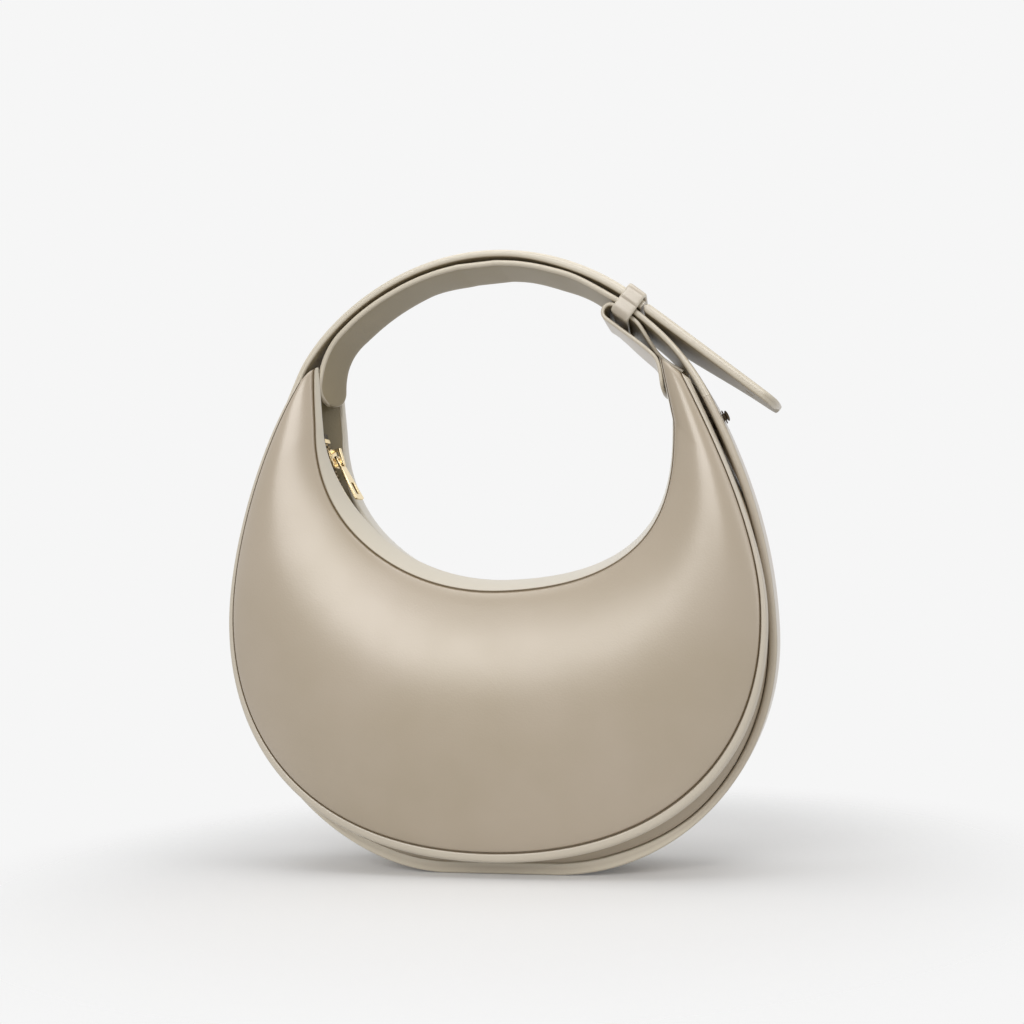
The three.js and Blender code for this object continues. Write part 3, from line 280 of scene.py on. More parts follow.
def woven(name, light, dark, ribs, lean, strength):
    """A cloth of slanting ribs crossed by fine threads; ribs is how many there are to the metre."""
    finish, tree, shader, place = blank_finish(name, Roughness=0.85, Sheen_Weight=0.25, Sheen_Roughness=0.5)
    slant = node(tree, "Mapping", {"Vector": place, "Rotation": (0.3, lean, 0.2)}).outputs[0]
    rib = node(tree, "TexWave", {"Vector": slant, "Scale": ribs / 6.2832, "Distortion": 0.4, "Detail": 1})
    thread = node(tree, "TexWave", {"Vector": slant, "Scale": ribs / 3.1, "Distortion": 0.3}, bands_direction="Z")
    ribbed, threaded, fuzz = rib.outputs["Fac"], thread.outputs["Fac"], noise(tree, place, 900, 3)
    tree.links.new(mixed_colour(tree, ribbed, dark, light), shader.inputs["Base Color"])
    grain(tree, shader, [(ribbed, 1), (threaded, 0.6), (fuzz, 0.4)], strength)
    return finish


def gold(name, colour, roughness):
    finish, tree, shader, place = blank_finish(name, Metallic=1.0, Base_Color=colour + (1,))
    uneven(tree, shader, noise(tree, place, 420, 5), roughness - 0.08, roughness + 0.1)
    grain(tree, shader, [(noise(tree, place, 1500, 2), 1)], 0.04)
    return finish


def fibrous(name, light, dark, roughness, scale, strength):
    """A dull stuff with fibres, such as board."""
    finish, tree, shader, place = blank_finish(name, Roughness=roughness)
    fibres = noise(tree, place, scale, 4, distortion=1.5)
    tree.links.new(mixed_colour(tree, fibres, dark, light), shader.inputs["Base Color"])
    grain(tree, shader, [(fibres, 1)], strength)
    return finish


LINING = woven("lining_twill", (0.31, 0.265, 0.195), (0.24, 0.20, 0.145), ribs=1300, lean=0.78, strength=0.5)
ZIP_CLOTH = woven("zip_tape_cloth", (0.10, 0.08, 0.055), (0.06, 0.048, 0.034), ribs=1100, lean=0.0, strength=0.6)
GOLD = gold("pale_gold", (0.90, 0.74, 0.46), roughness=0.24)
DARK_GOLD = gold("aged_gold", (0.30, 0.22, 0.12), roughness=0.36)
# The stud's near-black metal is painted shade
STUD_METAL = gold("stud_bronze", (0.12, 0.092, 0.06), roughness=0.58)
BOARD = fibrous("fibre_board", (0.26, 0.22, 0.165), (0.16, 0.135, 0.10), 0.9, scale=500, strength=0.5)

# %% [markdown]
# ## Lines, lofts and straps
#
# Almost everything on a bag is a strip of leather that follows a line. So the tools are few: a line in the front view
# that can be walked by distance, a loft that makes a closed skin through rows of points, and a strap, which is a loft
# with a rounded section. A curve with a bevel wouldn't do, because width, thickness and lean change along a strap.

# %% A line that can be walked
MM = 0.001


def bend(start, pull_start, pull_end, end, count=400):
    """Points of a smooth bend from start to end, each end pulled towards its own point."""
    a, b, c, d = (np.array(p, float) for p in (start, pull_start, pull_end, end))
    t = np.linspace(0, 1, count)[:, None]
    return (1 - t) ** 3 * a + 3 * (1 - t) ** 2 * t * b + 3 * (1 - t) * t ** 2 * c + t ** 3 * d


class Line:
    """A line in the front view (x, z), with the outside on its left hand."""

    def __init__(self, *runs):
        points = np.concatenate([np.asarray(run, float) for run in runs])
        new = np.concatenate([[True], np.hypot(*np.diff(points, axis=0).T) > 1e-6])
        self.points = points[new]
        self.along = np.concatenate([[0], np.cumsum(np.hypot(*np.diff(self.points, axis=0).T))])
        self.length = self.along[-1]

    def at(self, along):
        return np.stack([np.interp(along, self.along, self.points[:, i]) for i in (0, 1)], axis=-1)

    def forward(self, along):
        ahead = self.at(np.minimum(along + 0.4, self.length)) - self.at(np.maximum(along - 0.4, 0))
        return ahead / np.linalg.norm(ahead, axis=-1, keepdims=True)

    def outward(self, along):
        ahead = self.forward(along)
        return np.stack([-ahead[..., 1], ahead[..., 0]], axis=-1)

    def where(self, test, start=0.0):
        """How far along the line a test of x and z first holds."""
        steps = np.arange(start, self.length, 0.25)
        return steps[np.argmax(test(*self.at(steps).T))]


def ramp(value, low, high):
    t = np.clip((value - low) / (high - low), 0, 1)
    return t * t * (3 - 2 * t)


def mix(a, b, share):
    return a + (b - a) * share


def left(point):
    """The same place on the other side of the bag's middle."""
    return np.array(point) * (-1, 1)


def in_space(flat, y):
    """Points in space from points in the front view and their y."""
    return np.stack([flat[..., 0], y, flat[..., 1]], axis=-1)


def joined(*blocks):
    return np.concatenate(blocks, axis=1)


print("a bend of", len(bend((0, 0), (1, 0), (2, 1), (2, 2))), "points")

# %% Loft and piece
def make_mesh(name, points, faces, edge=None):
    """A smooth mesh from points in millimetres, faces turned outwards, with the painted light value edge on its points.
    """
    mesh = bpy.data.meshes.new(name)
    mesh.from_pydata((np.asarray(points) * MM).tolist(), [], faces)
    mesh.validate()
    mesh.update()
    corners = np.asarray(points)
    volume = sum(np.dot(corners[f[0]], np.cross(corners[f[i]], corners[f[i + 1]]))
                 for f in faces for i in range(1, len(f) - 1))
    if volume < 0:
        mesh.flip_normals()
    mesh.shade_smooth()
    mesh.set_sharp_from_angle(angle=math.radians(50))
    if edge is not None:
        mesh.attributes.new("edge", "FLOAT", "POINT").data.foreach_set("value", np.ravel(edge).astype(np.float32))
    return mesh


def wall(low, high, count):
    """Faces between two rings of points, each given by the number of its first point."""
    after = [(i + 1) % count for i in range(count)]
    return [[low + i, low + after[i], high + after[i], high + i] for i in range(count)]


def plate(outline, low, high, hole=()):
    """Points and faces of a plate with an (x, y) outline, and a hole with as many points if there is one."""
    count = len(outline)
    points = [(x, y, z) for ring in (outline, hole) for z in (low, high) for x, y in ring]
    faces = wall(0, count, count)
    if hole:
        inner = 2 * count
        faces += wall(inner + count, inner, count)
        faces += [face[2:] + face[:2] for face in wall(inner, 0, count)]
        faces += wall(count, inner + count, count)
    else:
        faces += [list(range(count))[::-1], list(range(count, 2 * count))]
    return points, faces


def loft(name, outer, inner, edge_outer=None, edge_inner=None, ring=False):
    """A closed skin: outer and inner hold rows of points (row, across, xyz). A ring joins its last row to its first."""
    rows = joined(outer, inner[:, ::-1])
    count, around = rows.shape[:2]
    across = outer.shape[1]
    faces = []
    for i in range(count if ring else count - 1):
        faces += wall(i * around, (i + 1) % count * around, around)
    if not ring:
        last = (count - 1) * around
        for j in range(across - 1):
            cap = [j, j + 1, around - 2 - j, around - 1 - j]
            faces += [cap[::-1], [last + c for c in cap]]
    edge = None
    if edge_outer is not None:
        far = edge_outer if edge_inner is None else edge_inner
        near, far = (np.broadcast_to(value, (count, across)) for value in (edge_outer, far))
        edge = joined(near, far[:, ::-1])
    return make_mesh(name, rows.reshape(-1, 3), faces, edge)


def piece(mesh, finish, body="bag"):
    """Puts a mesh in the scene as a piece that rides on a body and stands for the CAD node it is named after."""
    part = mesh.name.split(".")[0]
    mesh.name = part + "_" + finish.name.split("_")[-1]
    made = bpy.data.objects.new(mesh.name, mesh)
    bpy.context.scene.collection.objects.link(made)
    mesh.materials.append(finish)
    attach(made, body)
    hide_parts(part)
    return made


print("lofts and pieces ready")

# %% [markdown]
# ## The belt's line
#
# Seen from the front, the outer face of the belt is the outline of the whole ring: from the right shoulder down the
# side, along the flat base, up the left side and over the top. On the real bag the belt isn't square to the front
# everywhere. Over the top, near the keeper and down the right side its rear edge moves in, so every point of the belt
# is leaned towards the middle of the ring, the more the further back it lies.

# %% Ring line and lean
BELT_WIDTH = 28.0
BAND_THICK, BASE_THICK = 3.8, 5.8
INNER_STRAP_THICK = 2.6
OUTER_STRAP_THICK, TOP_STRAP_THICK = 4.0, 3.2
STRAP_LAYER_GAP, TOP_LAYER_GAP = 0.8, 1.3
KEEPER_LENGTH, KEEPER_WALL, KEEPER_CLEAR, TAB_THICK = 9.0, 1.7, 0.6, 1.8
SIDE_LEAN, TOP_LEAN, HANDLE_LEAN, KEEPER_LEAN, TONGUE_LEAN, TAIL_LEAN = 4, 4, 7.2, 12, 8, 2
BAND_RIGHT_Z, BAND_LEFT_Z, KEEPER_X = 197, 200, 69.9
SHOULDER, SLOPE = np.array([87.5, 221.0]), np.array([-19.5, 38.0])
SIDE, BASE_END, TOP = np.array([121.3, 100.0]), np.array([24.0, 0.0]), np.array([0.0, 268.0])
SIDE_UP, SIDE_DOWN, TOP_PULL = SIDE + (0, 46), SIDE - (0, 58), TOP + (43, 0)
above_shoulder = SHOULDER + SLOPE * 22 / np.hypot(*SLOPE)
below_shoulder = SHOULDER - SLOPE
ring_line = Line(
    bend(SHOULDER, below_shoulder, SIDE_UP, SIDE),
    bend(SIDE, SIDE_DOWN, BASE_END + (51, 0), BASE_END),
    [BASE_END, left(BASE_END)],
    bend(left(BASE_END), left(BASE_END + (44, 0)), left(SIDE_DOWN), left(SIDE)),
    bend(left(SIDE), left(SIDE_UP), left(below_shoulder), left(SHOULDER)),
    bend(left(SHOULDER), left(above_shoulder), left(TOP_PULL), TOP),
    bend(TOP, TOP_PULL, above_shoulder, SHOULDER),
)
band_start = ring_line.where(lambda x, z: z < BAND_RIGHT_Z)
band_middle = ring_line.where(lambda x, z: x < 0)
band_end = ring_line.where(lambda x, z: z > BAND_LEFT_Z, band_middle)
keeper_along = ring_line.where(lambda x, z: x > KEEPER_X, band_end)
keeper_point = ring_line.at(keeper_along)
keeper_forward = ring_line.forward(keeper_along)
keeper_outward = ring_line.outward(keeper_along)


def by_keeper(along, out):
    """A place near the keeper: along the belt from its middle, and out from the belt's outer face."""
    return keeper_point + keeper_forward * along + keeper_outward * out


def shift_in(points, degrees, way):
    """Moves points in along way, the more the further they lie behind the belt's front edge."""
    drop = (points[..., 1] + BELT_WIDTH / 2) * np.tan(np.radians(degrees))
    moved = points.copy()
    moved[..., 0] -= way[..., 0] * drop
    moved[..., 2] -= way[..., 1] * drop
    return moved


def belt_lean(points, extra=0):
    x, z = points[..., 0], points[..., 2]
    side = SIDE_LEAN * ramp(x, 40, 105)
    handle = TOP_LEAN * ramp(x, -32, -9) + (HANDLE_LEAN - TOP_LEAN) * ramp(x, 9, 40)
    at_keeper = (KEEPER_LEAN - HANDLE_LEAN) * ramp(x, 46, 70) * ramp(z, 194, 214)
    way = np.stack([x, np.maximum(0, z - 190)], axis=-1)
    way = way / np.maximum(np.linalg.norm(way, axis=-1, keepdims=True), 1e-9)
    return shift_in(points, mix(side, handle, ramp(z, 197, 230)) + at_keeper + extra, way)


def tongue_lean(points):
    x, z = points[..., 0], points[..., 2]
    return belt_lean(points, TONGUE_LEAN * (1 - ramp(x, -80, -54)) * (1 - ramp(z, 208, 238)))


print("ring", round(ring_line.length), "mm round; keeper at", keeper_point.round(1))

# %% [markdown]
# ## Straps
#
# A strap of a good bag is two skins of leather with the edges turned in and glued, so its edges are round and a fine
# line runs along the middle of each edge. The section below has both: a quarter round at each corner, a nick at half
# thickness, and a face that falls away slightly towards the edges, which is what catches the light.

# %% Strap
EDGE_ROUND = 1.15
EDGE_NICK = 0.09
FACE_CROWN = 0.14
CORNER = np.radians([0, 20, 40, 65, 90])
ACROSS = np.linspace(-1, 1, 9)[1:-1]
# Painted highlight on a strap's rolled rims, strongest at the middle of each edge; the face between gets none
RIM_HIGHLIGHT = np.array([0.2, 0.5, 0.7, 0.8, 0.75, 0.5, 0.2])
STRAP_HIGHLIGHT = np.concatenate([RIM_HIGHLIGHT, np.zeros(len(ACROSS)), RIM_HIGHLIGHT[::-1]])


def strap_section(half, deep):
    """Places across (y) and below the outer face (d), for stations of a strap given its half width and thickness."""
    half, deep = np.asarray(half)[:, None], np.asarray(deep)[:, None]
    turn = np.minimum(EDGE_ROUND, np.minimum(0.42 * deep, 0.4 * half))
    nick = np.minimum(EDGE_NICK, 0.1 * deep)
    rim_y = joined(-half + nick, -half, -half + turn * (1 - np.cos(CORNER)))
    rim_d = joined(deep / 2 - 0.25 * nick, deep / 2 - 1.2 * nick, turn * (1 - np.sin(CORNER)))
    face_y = (half - turn) * ACROSS
    y = joined(rim_y, face_y, -rim_y[:, ::-1])
    d = joined(rim_d, np.zeros_like(face_y), rim_d[:, ::-1])
    crown = np.minimum(FACE_CROWN, 0.05 * deep) * (y / half) ** 2
    return y, np.minimum(d + crown, deep / 2 - 0.2 * nick)


def strap_rows(line, steps, thick, width, centred=False):
    """Outer and inner rows of a strap whose outer face, or middle if centred, follows a line."""
    steps = np.asarray(steps, float)
    deep = np.broadcast_to(thick(steps) if callable(thick) else thick, steps.shape)
    y, d = strap_section(width(steps) / 2, deep)
    lift = deep[:, None] / 2 if centred else 0
    point, out = line.at(steps)[:, None], line.outward(steps)[:, None]

    def rows(depth):
        return in_space(point - out * (depth - lift)[..., None], y)

    return rows(d), rows(deep[:, None] - d)


def full_width(steps):
    return np.full_like(steps, BELT_WIDTH)


def round_share(from_end, reach):
    """Share of the full size at a distance from a rounded end."""
    return np.sqrt(np.maximum(0.004, 1 - np.maximum(0, 1 - from_end / reach) ** 2))


def spaced(start, stop, step=2.2, close_start=0.0, close_end=0.0):
    """Distances along a strap that close up towards a rounded end of the given length."""
    turn = 1 - np.cos(np.radians(np.linspace(6, 90, 15)))
    head = start + close_start * turn[:-1] if close_start else []
    tail = stop - close_end * turn[-2::-1] if close_end else []
    body = np.linspace(start + close_start, stop - close_end, max(3, int((stop - start) / step)))
    return np.concatenate([head, body, tail])


def strap(name, line, steps, thick, width=full_width, centred=False, lean=belt_lean, pale=1.0):
    # pale scales the painted highlight on the rims
    outer, inner = strap_rows(line, steps, thick, width, centred)
    return loft(name, lean(outer), lean(inner), STRAP_HIGHLIGHT * pale)


def back_face(made, inner=True):
    """Gives one face of a strap, inside its rolled edges, the dull finish of a back, whose darker colour is painted
    shade.
    """
    made.data.materials.append(PAINTED_SHADE_BACK_LEATHER)
    across = len(STRAP_HIGHLIGHT)
    first = len(RIM_HIGHLIGHT) - 2 + (across if inner else 0)
    last = len(made.data.vertices) - 2 * across
    for face in made.data.polygons:
        if face.index < last and first < face.index % (2 * across) < first + len(ACROSS) + 2:
            face.material_index = 1


print("a strap section has", 2 * len(STRAP_HIGHLIGHT), "points")

# %% [markdown]
# ## Band, outer strap and inner strap
#
# The band carries the bag: it runs round both sides and the bottom, where it is thickest. On the left it goes on
# upwards as the outer strap of the handle, thin over the top and thicker towards the keeper. The inner strap starts
# as a rounded tongue on the left horn, follows the outer strap, passes the keeper and meets the band's right end.
# The face of a strap that looks at the hand, at another strap or into a fold is its dull back, darkened as painted
# shade.

# %% Belt
GAP, TAIL_CUT, STRAP_TAPER = 0.4, 1.2, 30
TONGUE_END, TONGUE_WIDTH, TONGUE_ROUND = np.array([-80.2, 207.5]), 23.4, 9.0
inner_top = OUTER_STRAP_THICK + STRAP_LAYER_GAP
outer_start = band_end + 0.05
outer_end = keeper_along + KEEPER_LENGTH / 2 + TAIL_CUT


def band_thick(steps):
    return mix(BASE_THICK, BAND_THICK, ramp(np.abs(ring_line.at(steps)[..., 0]), 50, 95))


def outer_thick_at(x):
    return mix(TOP_STRAP_THICK, OUTER_STRAP_THICK, ramp(x, 12, 46))


def outer_thick(steps):
    return mix(BAND_THICK, outer_thick_at(ring_line.at(steps)[..., 0]), ramp(steps - outer_start, 0, STRAP_TAPER))


band_steps = spaced(band_start, band_end)
# Painted highlight on the band's rims: stronger along the bottom, weaker up the right side
band_highlight = 1.2 - 0.8 * ramp(ring_line.at(band_steps)[:, :1], 70, 112)
piece(strap("perimeter_band", ring_line, band_steps, band_thick, pale=band_highlight), LEATHER)
outer_strap = piece(strap("outer_strap", ring_line, spaced(outer_start, outer_end), outer_thick, pale=1.2), LEATHER)
back_face(outer_strap)


def through(points):
    """A smooth line through points, turning at each towards the next but one."""
    p = [points[0], *points, points[-1]]
    return np.concatenate([bend(b, b + (c - a) / 6, c - (d - b) / 6, c, count=40)
                           for a, b, c, d in zip(p, p[1:], p[2:], p[3:])])


def under_outline(x):
    """Place and heading of the inner strap's outer face, under the outline where the outline reaches x."""
    along = ring_line.where(lambda px, pz: px > x, band_end)
    deep = outer_thick_at(x) + mix(TOP_LAYER_GAP, STRAP_LAYER_GAP, ramp(x, 12, 46))
    return ring_line.at(along) - ring_line.outward(along) * deep, ring_line.forward(along)


left_join, left_heading = under_outline(-70)
flat_end = under_outline(9)[0]
flat_start = left(flat_end)
at_keeper = by_keeper(0, -inner_top)
band_join = ring_line.at(band_start - 0.05)
inner_line = Line(
    bend(TONGUE_END, TONGUE_END + (0, 14), left_join - left_heading * 11, left_join),
    through([left_join] + [under_outline(-x)[0] for x in (60, 48, 34, 21)] + [flat_start]),
    [flat_start, flat_end],
    through([flat_end] + [under_outline(x)[0] for x in (21, 34, 48)] + [at_keeper]),
    bend(at_keeper, by_keeper(16, -inner_top), band_join - ring_line.forward(band_start - GAP) * 20, band_join),
)


def tongue_width(steps):
    return mix(TONGUE_WIDTH, BELT_WIDTH, ramp(steps, 10, 45)) * round_share(steps, TONGUE_ROUND)


def tongue_thick(steps):
    return mix(BAND_THICK, INNER_STRAP_THICK, ramp(inner_line.length - steps, 0, STRAP_TAPER)) * round_share(steps, 1.2)


inner_steps = spaced(0.02, inner_line.length - 0.02, close_start=TONGUE_ROUND)
inner_strap = piece(
    strap("inner_strap", inner_line, inner_steps, tongue_thick, tongue_width, lean=tongue_lean), LEATHER)
back_face(inner_strap)
print("inner strap", round(inner_line.length), "mm; outer strap", round(outer_end - outer_start), "mm")

# %% [markdown]
# ## The loose tail
#
# Past the keeper the outer strap runs free, and its rounded end stands off the bag. It has a hole for the stud. The
# tail bends next to the keeper, so it rides on a body of its own. Its hole is cut with a Boolean, the usual way to
# drill through a finished shape.

# %% Tail
TAIL_TIP, TAIL_ROUND = np.array([125.6, 190.6]), 7
TAIL_HOLE_FROM_TIP, TAIL_HOLE_RADIUS = 14, 2.0
tail_radius = OUTER_STRAP_THICK / 2
pivot_along = KEEPER_LENGTH / 2 + TAIL_CUT + tail_radius + GAP
tail_pivot = by_keeper(pivot_along, -tail_radius)
tail_line = Line(
    [by_keeper(pivot_along - tail_radius, -tail_radius), tail_pivot],
    bend(tail_pivot, by_keeper(pivot_along + 18, -tail_radius), mix(tail_pivot, TAIL_TIP, 0.6), TAIL_TIP),
)


def tail_thick(steps):
    return OUTER_STRAP_THICK * np.minimum(round_share(steps, tail_radius), round_share(tail_line.length - steps, 1.9))


def tail_width(steps):
    return BELT_WIDTH * round_share(tail_line.length - steps, TAIL_ROUND)


def tail_lean(points):
    reach = np.hypot(points[..., 0] - tail_pivot[0], points[..., 2] - tail_pivot[1])
    lean = mix(KEEPER_LEAN, TAIL_LEAN, ramp(reach, OUTER_STRAP_THICK, tail_line.length))
    return shift_in(points, lean, keeper_outward)


def drill(target, centre, axis, radius, depth):
    """Cuts a round hole through a mesh object and leaves a plain mesh."""
    mesh = bpy.data.meshes.new("drill")
    ring = [(radius * math.cos(a), radius * math.sin(a)) for a in np.linspace(0, 2 * np.pi, 40, endpoint=False)]
    points, faces = plate(ring, -depth / 2, depth / 2)
    mesh.from_pydata((np.array(points) * MM).tolist(), [], faces)
    tool = bpy.data.objects.new("drill", mesh)
    turn = Vector(axis).to_track_quat("Z", "Y").to_matrix().to_4x4()
    tool.matrix_world = Matrix.Translation(Vector(centre) * MM) @ turn
    bpy.context.scene.collection.objects.link(tool)
    cut = target.modifiers.new("hole", "BOOLEAN")
    cut.operation, cut.solver, cut.object = "DIFFERENCE", "EXACT", tool
    bpy.context.view_layer.update()
    seen = target.evaluated_get(bpy.context.evaluated_depsgraph_get())
    done = bpy.data.meshes.new_from_object(seen)
    target.modifiers.clear()
    old = target.data
    target.data = done
    bpy.data.meshes.remove(old)
    done.name = target.name
    bpy.data.objects.remove(tool)
    done.set_sharp_from_angle(angle=math.radians(50))


tail_steps = spaced(0.02, tail_line.length - 0.02, close_start=tail_radius, close_end=TAIL_ROUND)
tail = piece(strap("strap_tail", tail_line, tail_steps, tail_thick, tail_width, centred=True, lean=tail_lean), LEATHER,
             body="tail")
back_face(tail)
hole_along = tail_line.length - TAIL_HOLE_FROM_TIP
hole_place = tail_lean(in_space(tail_line.at(hole_along), 0))
drill(tail, hole_place, in_space(tail_line.outward(hole_along), 0), TAIL_HOLE_RADIUS, 16)
print("tail", round(tail_line.length), "mm long,", len(tail.data.polygons), "faces")

# %% [markdown]
# ## Keeper and loop tab
#
# The keeper is a narrow strip of leather closed to a ring round both straps and the tab. Its ends meet on the front in
# a fine seam. The tab is a folded strip: the fold goes round the keeper's lower bar, so that the keeper can't slide
# away, the two legs pinch together above the right horn, and then one runs outside it and one inside it.

# %% Keeper
TAB_SLACK = 2.6
tab_upper = inner_top + INNER_STRAP_THICK + KEEPER_CLEAR + TAB_THICK / 2
keeper_floor = tab_upper + TAB_THICK / 2 + KEEPER_CLEAR
tab_lower = keeper_floor + KEEPER_WALL + TAB_SLACK + TAB_THICK / 2


def rounded_box(low, high, half, turn):
    """A closed outline in (out, y) with rounded corners, starting in the middle of the front side."""
    arc = np.radians(np.linspace(0, 90, 9))
    c, s = np.cos(arc), np.sin(arc)
    middle = (low + high) / 2
    front = [[middle, -half]]
    corners = [
        np.stack([high - turn + turn * s, -half + turn - turn * c], axis=1),
        np.stack([high - turn + turn * c, half - turn + turn * s], axis=1),
        np.stack([low + turn - turn * s, half - turn + turn * c], axis=1),
        np.stack([low + turn - turn * c, -half + turn - turn * s], axis=1),
    ]
    return Line(front, *corners, front)


def make_keeper():
    half = BELT_WIDTH / 2 + KEEPER_CLEAR + KEEPER_WALL / 2
    loop = rounded_box(-keeper_floor - KEEPER_WALL / 2, KEEPER_CLEAR + KEEPER_WALL / 2, half, 1.9)
    steps = np.linspace(0, loop.length, 160, endpoint=False)
    point = loop.at(steps)
    out = loop.outward(steps)
    out = out * np.sign(((point - point.mean(0)) * out).sum())
    seam = np.exp(-(np.minimum(steps, loop.length - steps) / 0.3) ** 2)
    deep = KEEPER_WALL * (1 - 0.3 * seam)
    y, d = strap_section(np.full(len(steps), KEEPER_LENGTH / 2), deep)

    def rows(depth):
        lift = (deep[:, None] / 2 - depth)[..., None]
        flat = point[:, None] + out[:, None] * lift
        place = keeper_point + keeper_outward * flat[..., :1] - keeper_forward * y[..., None]
        return belt_lean(in_space(place, flat[..., 1]))

    # Painted highlight on the rims and painted shade in the seam where the ends meet
    edge = STRAP_HIGHLIGHT - 0.9 * seam[:, None]
    return loft("strap_keeper", rows(d), rows(deep[:, None] - d), edge, ring=True)


keeper = piece(make_keeper(), PAINTED_HIGHLIGHT_LEATHER, body="keeper")
print("keeper strip", len(keeper.data.polygons), "faces")

# %% Loop tab
TAB_END_WIDTH, TAB_WIDTH, TAB_ROUND, TAB_UNTWIST = 15, 26, 6, 4
fold_along = -4.7
fold_middle = by_keeper(fold_along, -(tab_upper + tab_lower) / 2)
fold_radius = (tab_lower - tab_upper) / 2
fold_start = math.atan2(keeper_outward[1], keeper_outward[0])
fold_turn = fold_start + np.linspace(0, np.pi, 60)
TAB_OUTER_END, TAB_INNER_END, PINCH = np.array([87.8, 208.3]), np.array([79.5, 198.5]), np.array([77.2, 216.0])
PINCH_SLOPE, OUTER_SLOPE, INNER_SLOPE = -51.5, -39.5, -80


def heading(slope):
    return np.array([math.cos(math.radians(slope)), math.sin(math.radians(slope))])


def pinch(side, ahead):
    """Where a leg passes the pinch above the horn: the outer leg is side 1, and ahead is down along the leg."""
    way = heading(PINCH_SLOPE)
    return PINCH + 1.2 * side * np.array([-way[1], way[0]]) + 5 * ahead * way


tab_line = Line(
    bend(TAB_OUTER_END, TAB_OUTER_END - 4 * heading(OUTER_SLOPE), pinch(1, 1), pinch(1, 0)),
    bend(pinch(1, 0), pinch(1, -1), by_keeper(9.5, -tab_upper), by_keeper(6, -tab_upper)),
    [by_keeper(6, -tab_upper), by_keeper(fold_along, -tab_upper)],
    fold_middle + fold_radius * np.stack([np.cos(fold_turn), np.sin(fold_turn)], axis=1),
    [by_keeper(fold_along, -tab_lower), by_keeper(0, -tab_lower)],
    bend(by_keeper(0, -tab_lower), by_keeper(5, -tab_lower), pinch(-1, -1), pinch(-1, 0)),
    bend(pinch(-1, 0), pinch(-1, 1), TAB_INNER_END - 7 * heading(INNER_SLOPE), TAB_INNER_END),
)


def tab_width(steps):
    full = mix(TAB_END_WIDTH, TAB_WIDTH, ramp(steps, 10, 28))
    return full * round_share(tab_line.length - steps, TAB_ROUND)


def tab_thick(steps):
    return TAB_THICK * round_share(tab_line.length - steps, 0.8)


tab_steps = spaced(0.02, tab_line.length - 0.02, step=1.1, close_end=TAB_ROUND)
fold_end, lower_pinch = (tab_line.where(lambda x, z: np.hypot(x - place[0], z - place[1]) < 0.4)
                         for place in (by_keeper(0, -tab_lower), pinch(-1, 0)))


def tab_lean(points):
    """Leans the tab with the belt, but less on its lower leg between the fold and the pinch."""
    untwist = ramp(tab_steps, fold_end - 12, fold_end) * (1 - ramp(tab_steps, fold_end + 2, lower_pinch))
    return belt_lean(points, -TAB_UNTWIST * untwist[:, None])


tab = piece(strap("loop_tab", tab_line, tab_steps, tab_thick, tab_width, centred=True, lean=tab_lean), LEATHER)
back_face(tab, inner=False)
print("tab", round(tab_line.length), "mm long")

# %% [markdown]
# ## The stud
#
# A small turned stud stands on the right side of the belt, where the tail can button down. A turned part is drawn as
# half of its outline and spun round its axis. A screw holds it from inside the belt.

# %% Stud and screw
STUD_Z = 188.6
stud_along = ring_line.where(lambda x, z: z < STUD_Z)
stud_foot, stud_axis = ring_line.at(stud_along), ring_line.outward(stud_along)


def turned(name, outline, sides=40):
    """A solid spun from (radius, height) pairs that start and end on the axis, standing on the belt at the stud."""
    outline = np.asarray(outline, float)
    around = np.linspace(0, 2 * np.pi, sides, endpoint=False)
    axis, foot = in_space(stud_axis, 0), in_space(stud_foot, 0)
    across = np.array([-stud_axis[1], 0, stud_axis[0]])
    ring = np.cos(around)[:, None] * across + np.sin(around)[:, None] * np.array([0, 1, 0])
    points = [foot + axis * outline[0, 1]]
    points += [foot + axis * h + r * way for r, h in outline[1:-1] for way in ring]
    points.append(foot + axis * outline[-1, 1])
    rows = len(outline) - 2
    faces = [[0, 1 + (i + 1) % sides, 1 + i] for i in range(sides)]
    for row in range(rows - 1):
        faces += wall(1 + row * sides, 1 + (row + 1) * sides, sides)
    top = 1 + (rows - 1) * sides
    faces += [[top + i, top + (i + 1) % sides, len(points) - 1] for i in range(sides)]
    return make_mesh(name, belt_lean(np.array(points)), faces)


stud_outline = [
    (0, -4.2), (1.5, -4.2), (1.5, 0.4), (2.8, 0.4), (3, 0.5), (3, 0.8), (2.8, 0.9), (1.6, 0.95), (1.5, 1.0), (1.5, 1.2),
    (1.7, 1.3), (2.2, 1.5), (2.4, 1.7), (2.4, 1.85), (2.2, 2.1), (1.6, 2.35), (0.8, 2.48), (0, 2.5),
]
piece(turned("strap_stud", stud_outline), STUD_METAL)
screw_outline = [(0, -5.6), (2.7, -5.6), (3, -5.4), (3, -4.7), (2.9, -4.6), (0, -4.6)]
piece(turned("stud_screw", screw_outline), STUD_METAL)
print("stud at", stud_foot.round(1))

# %% [markdown]
# ## The two crescents
#
# The front and back of the bag are half moons. Each is described by its outer edge, its mouth, and cross lines between
# the two, from the left horn round the bottom to the right horn. Along a cross line the leather swells from the outer
# seam and falls back towards the seam along the mouth, and from there a strip runs in to the rim beside the zip. The
# rows of faces then follow the seams, so the highlight runs clean, which a grid cut from a flat sheet wouldn't give.

# %% Edge, mouth and cross lines
EDGE_LEFT, EDGE_RIGHT, EDGE_Z, EDGE_BOTTOM = -120.5, 118.8, 108.0, 6.8
EDGE_UP, EDGE_DOWN = EDGE_Z + 30, 46
LEFT_HORN = {"outer": (-85.2, 216.5), "mouth": (-77.4, 223.5)}
RIGHT_HORN = {"outer": (91.2, 203.6), "mouth": (78.4, 214.2)}
MOUTH_LOW = (8, 124.6)
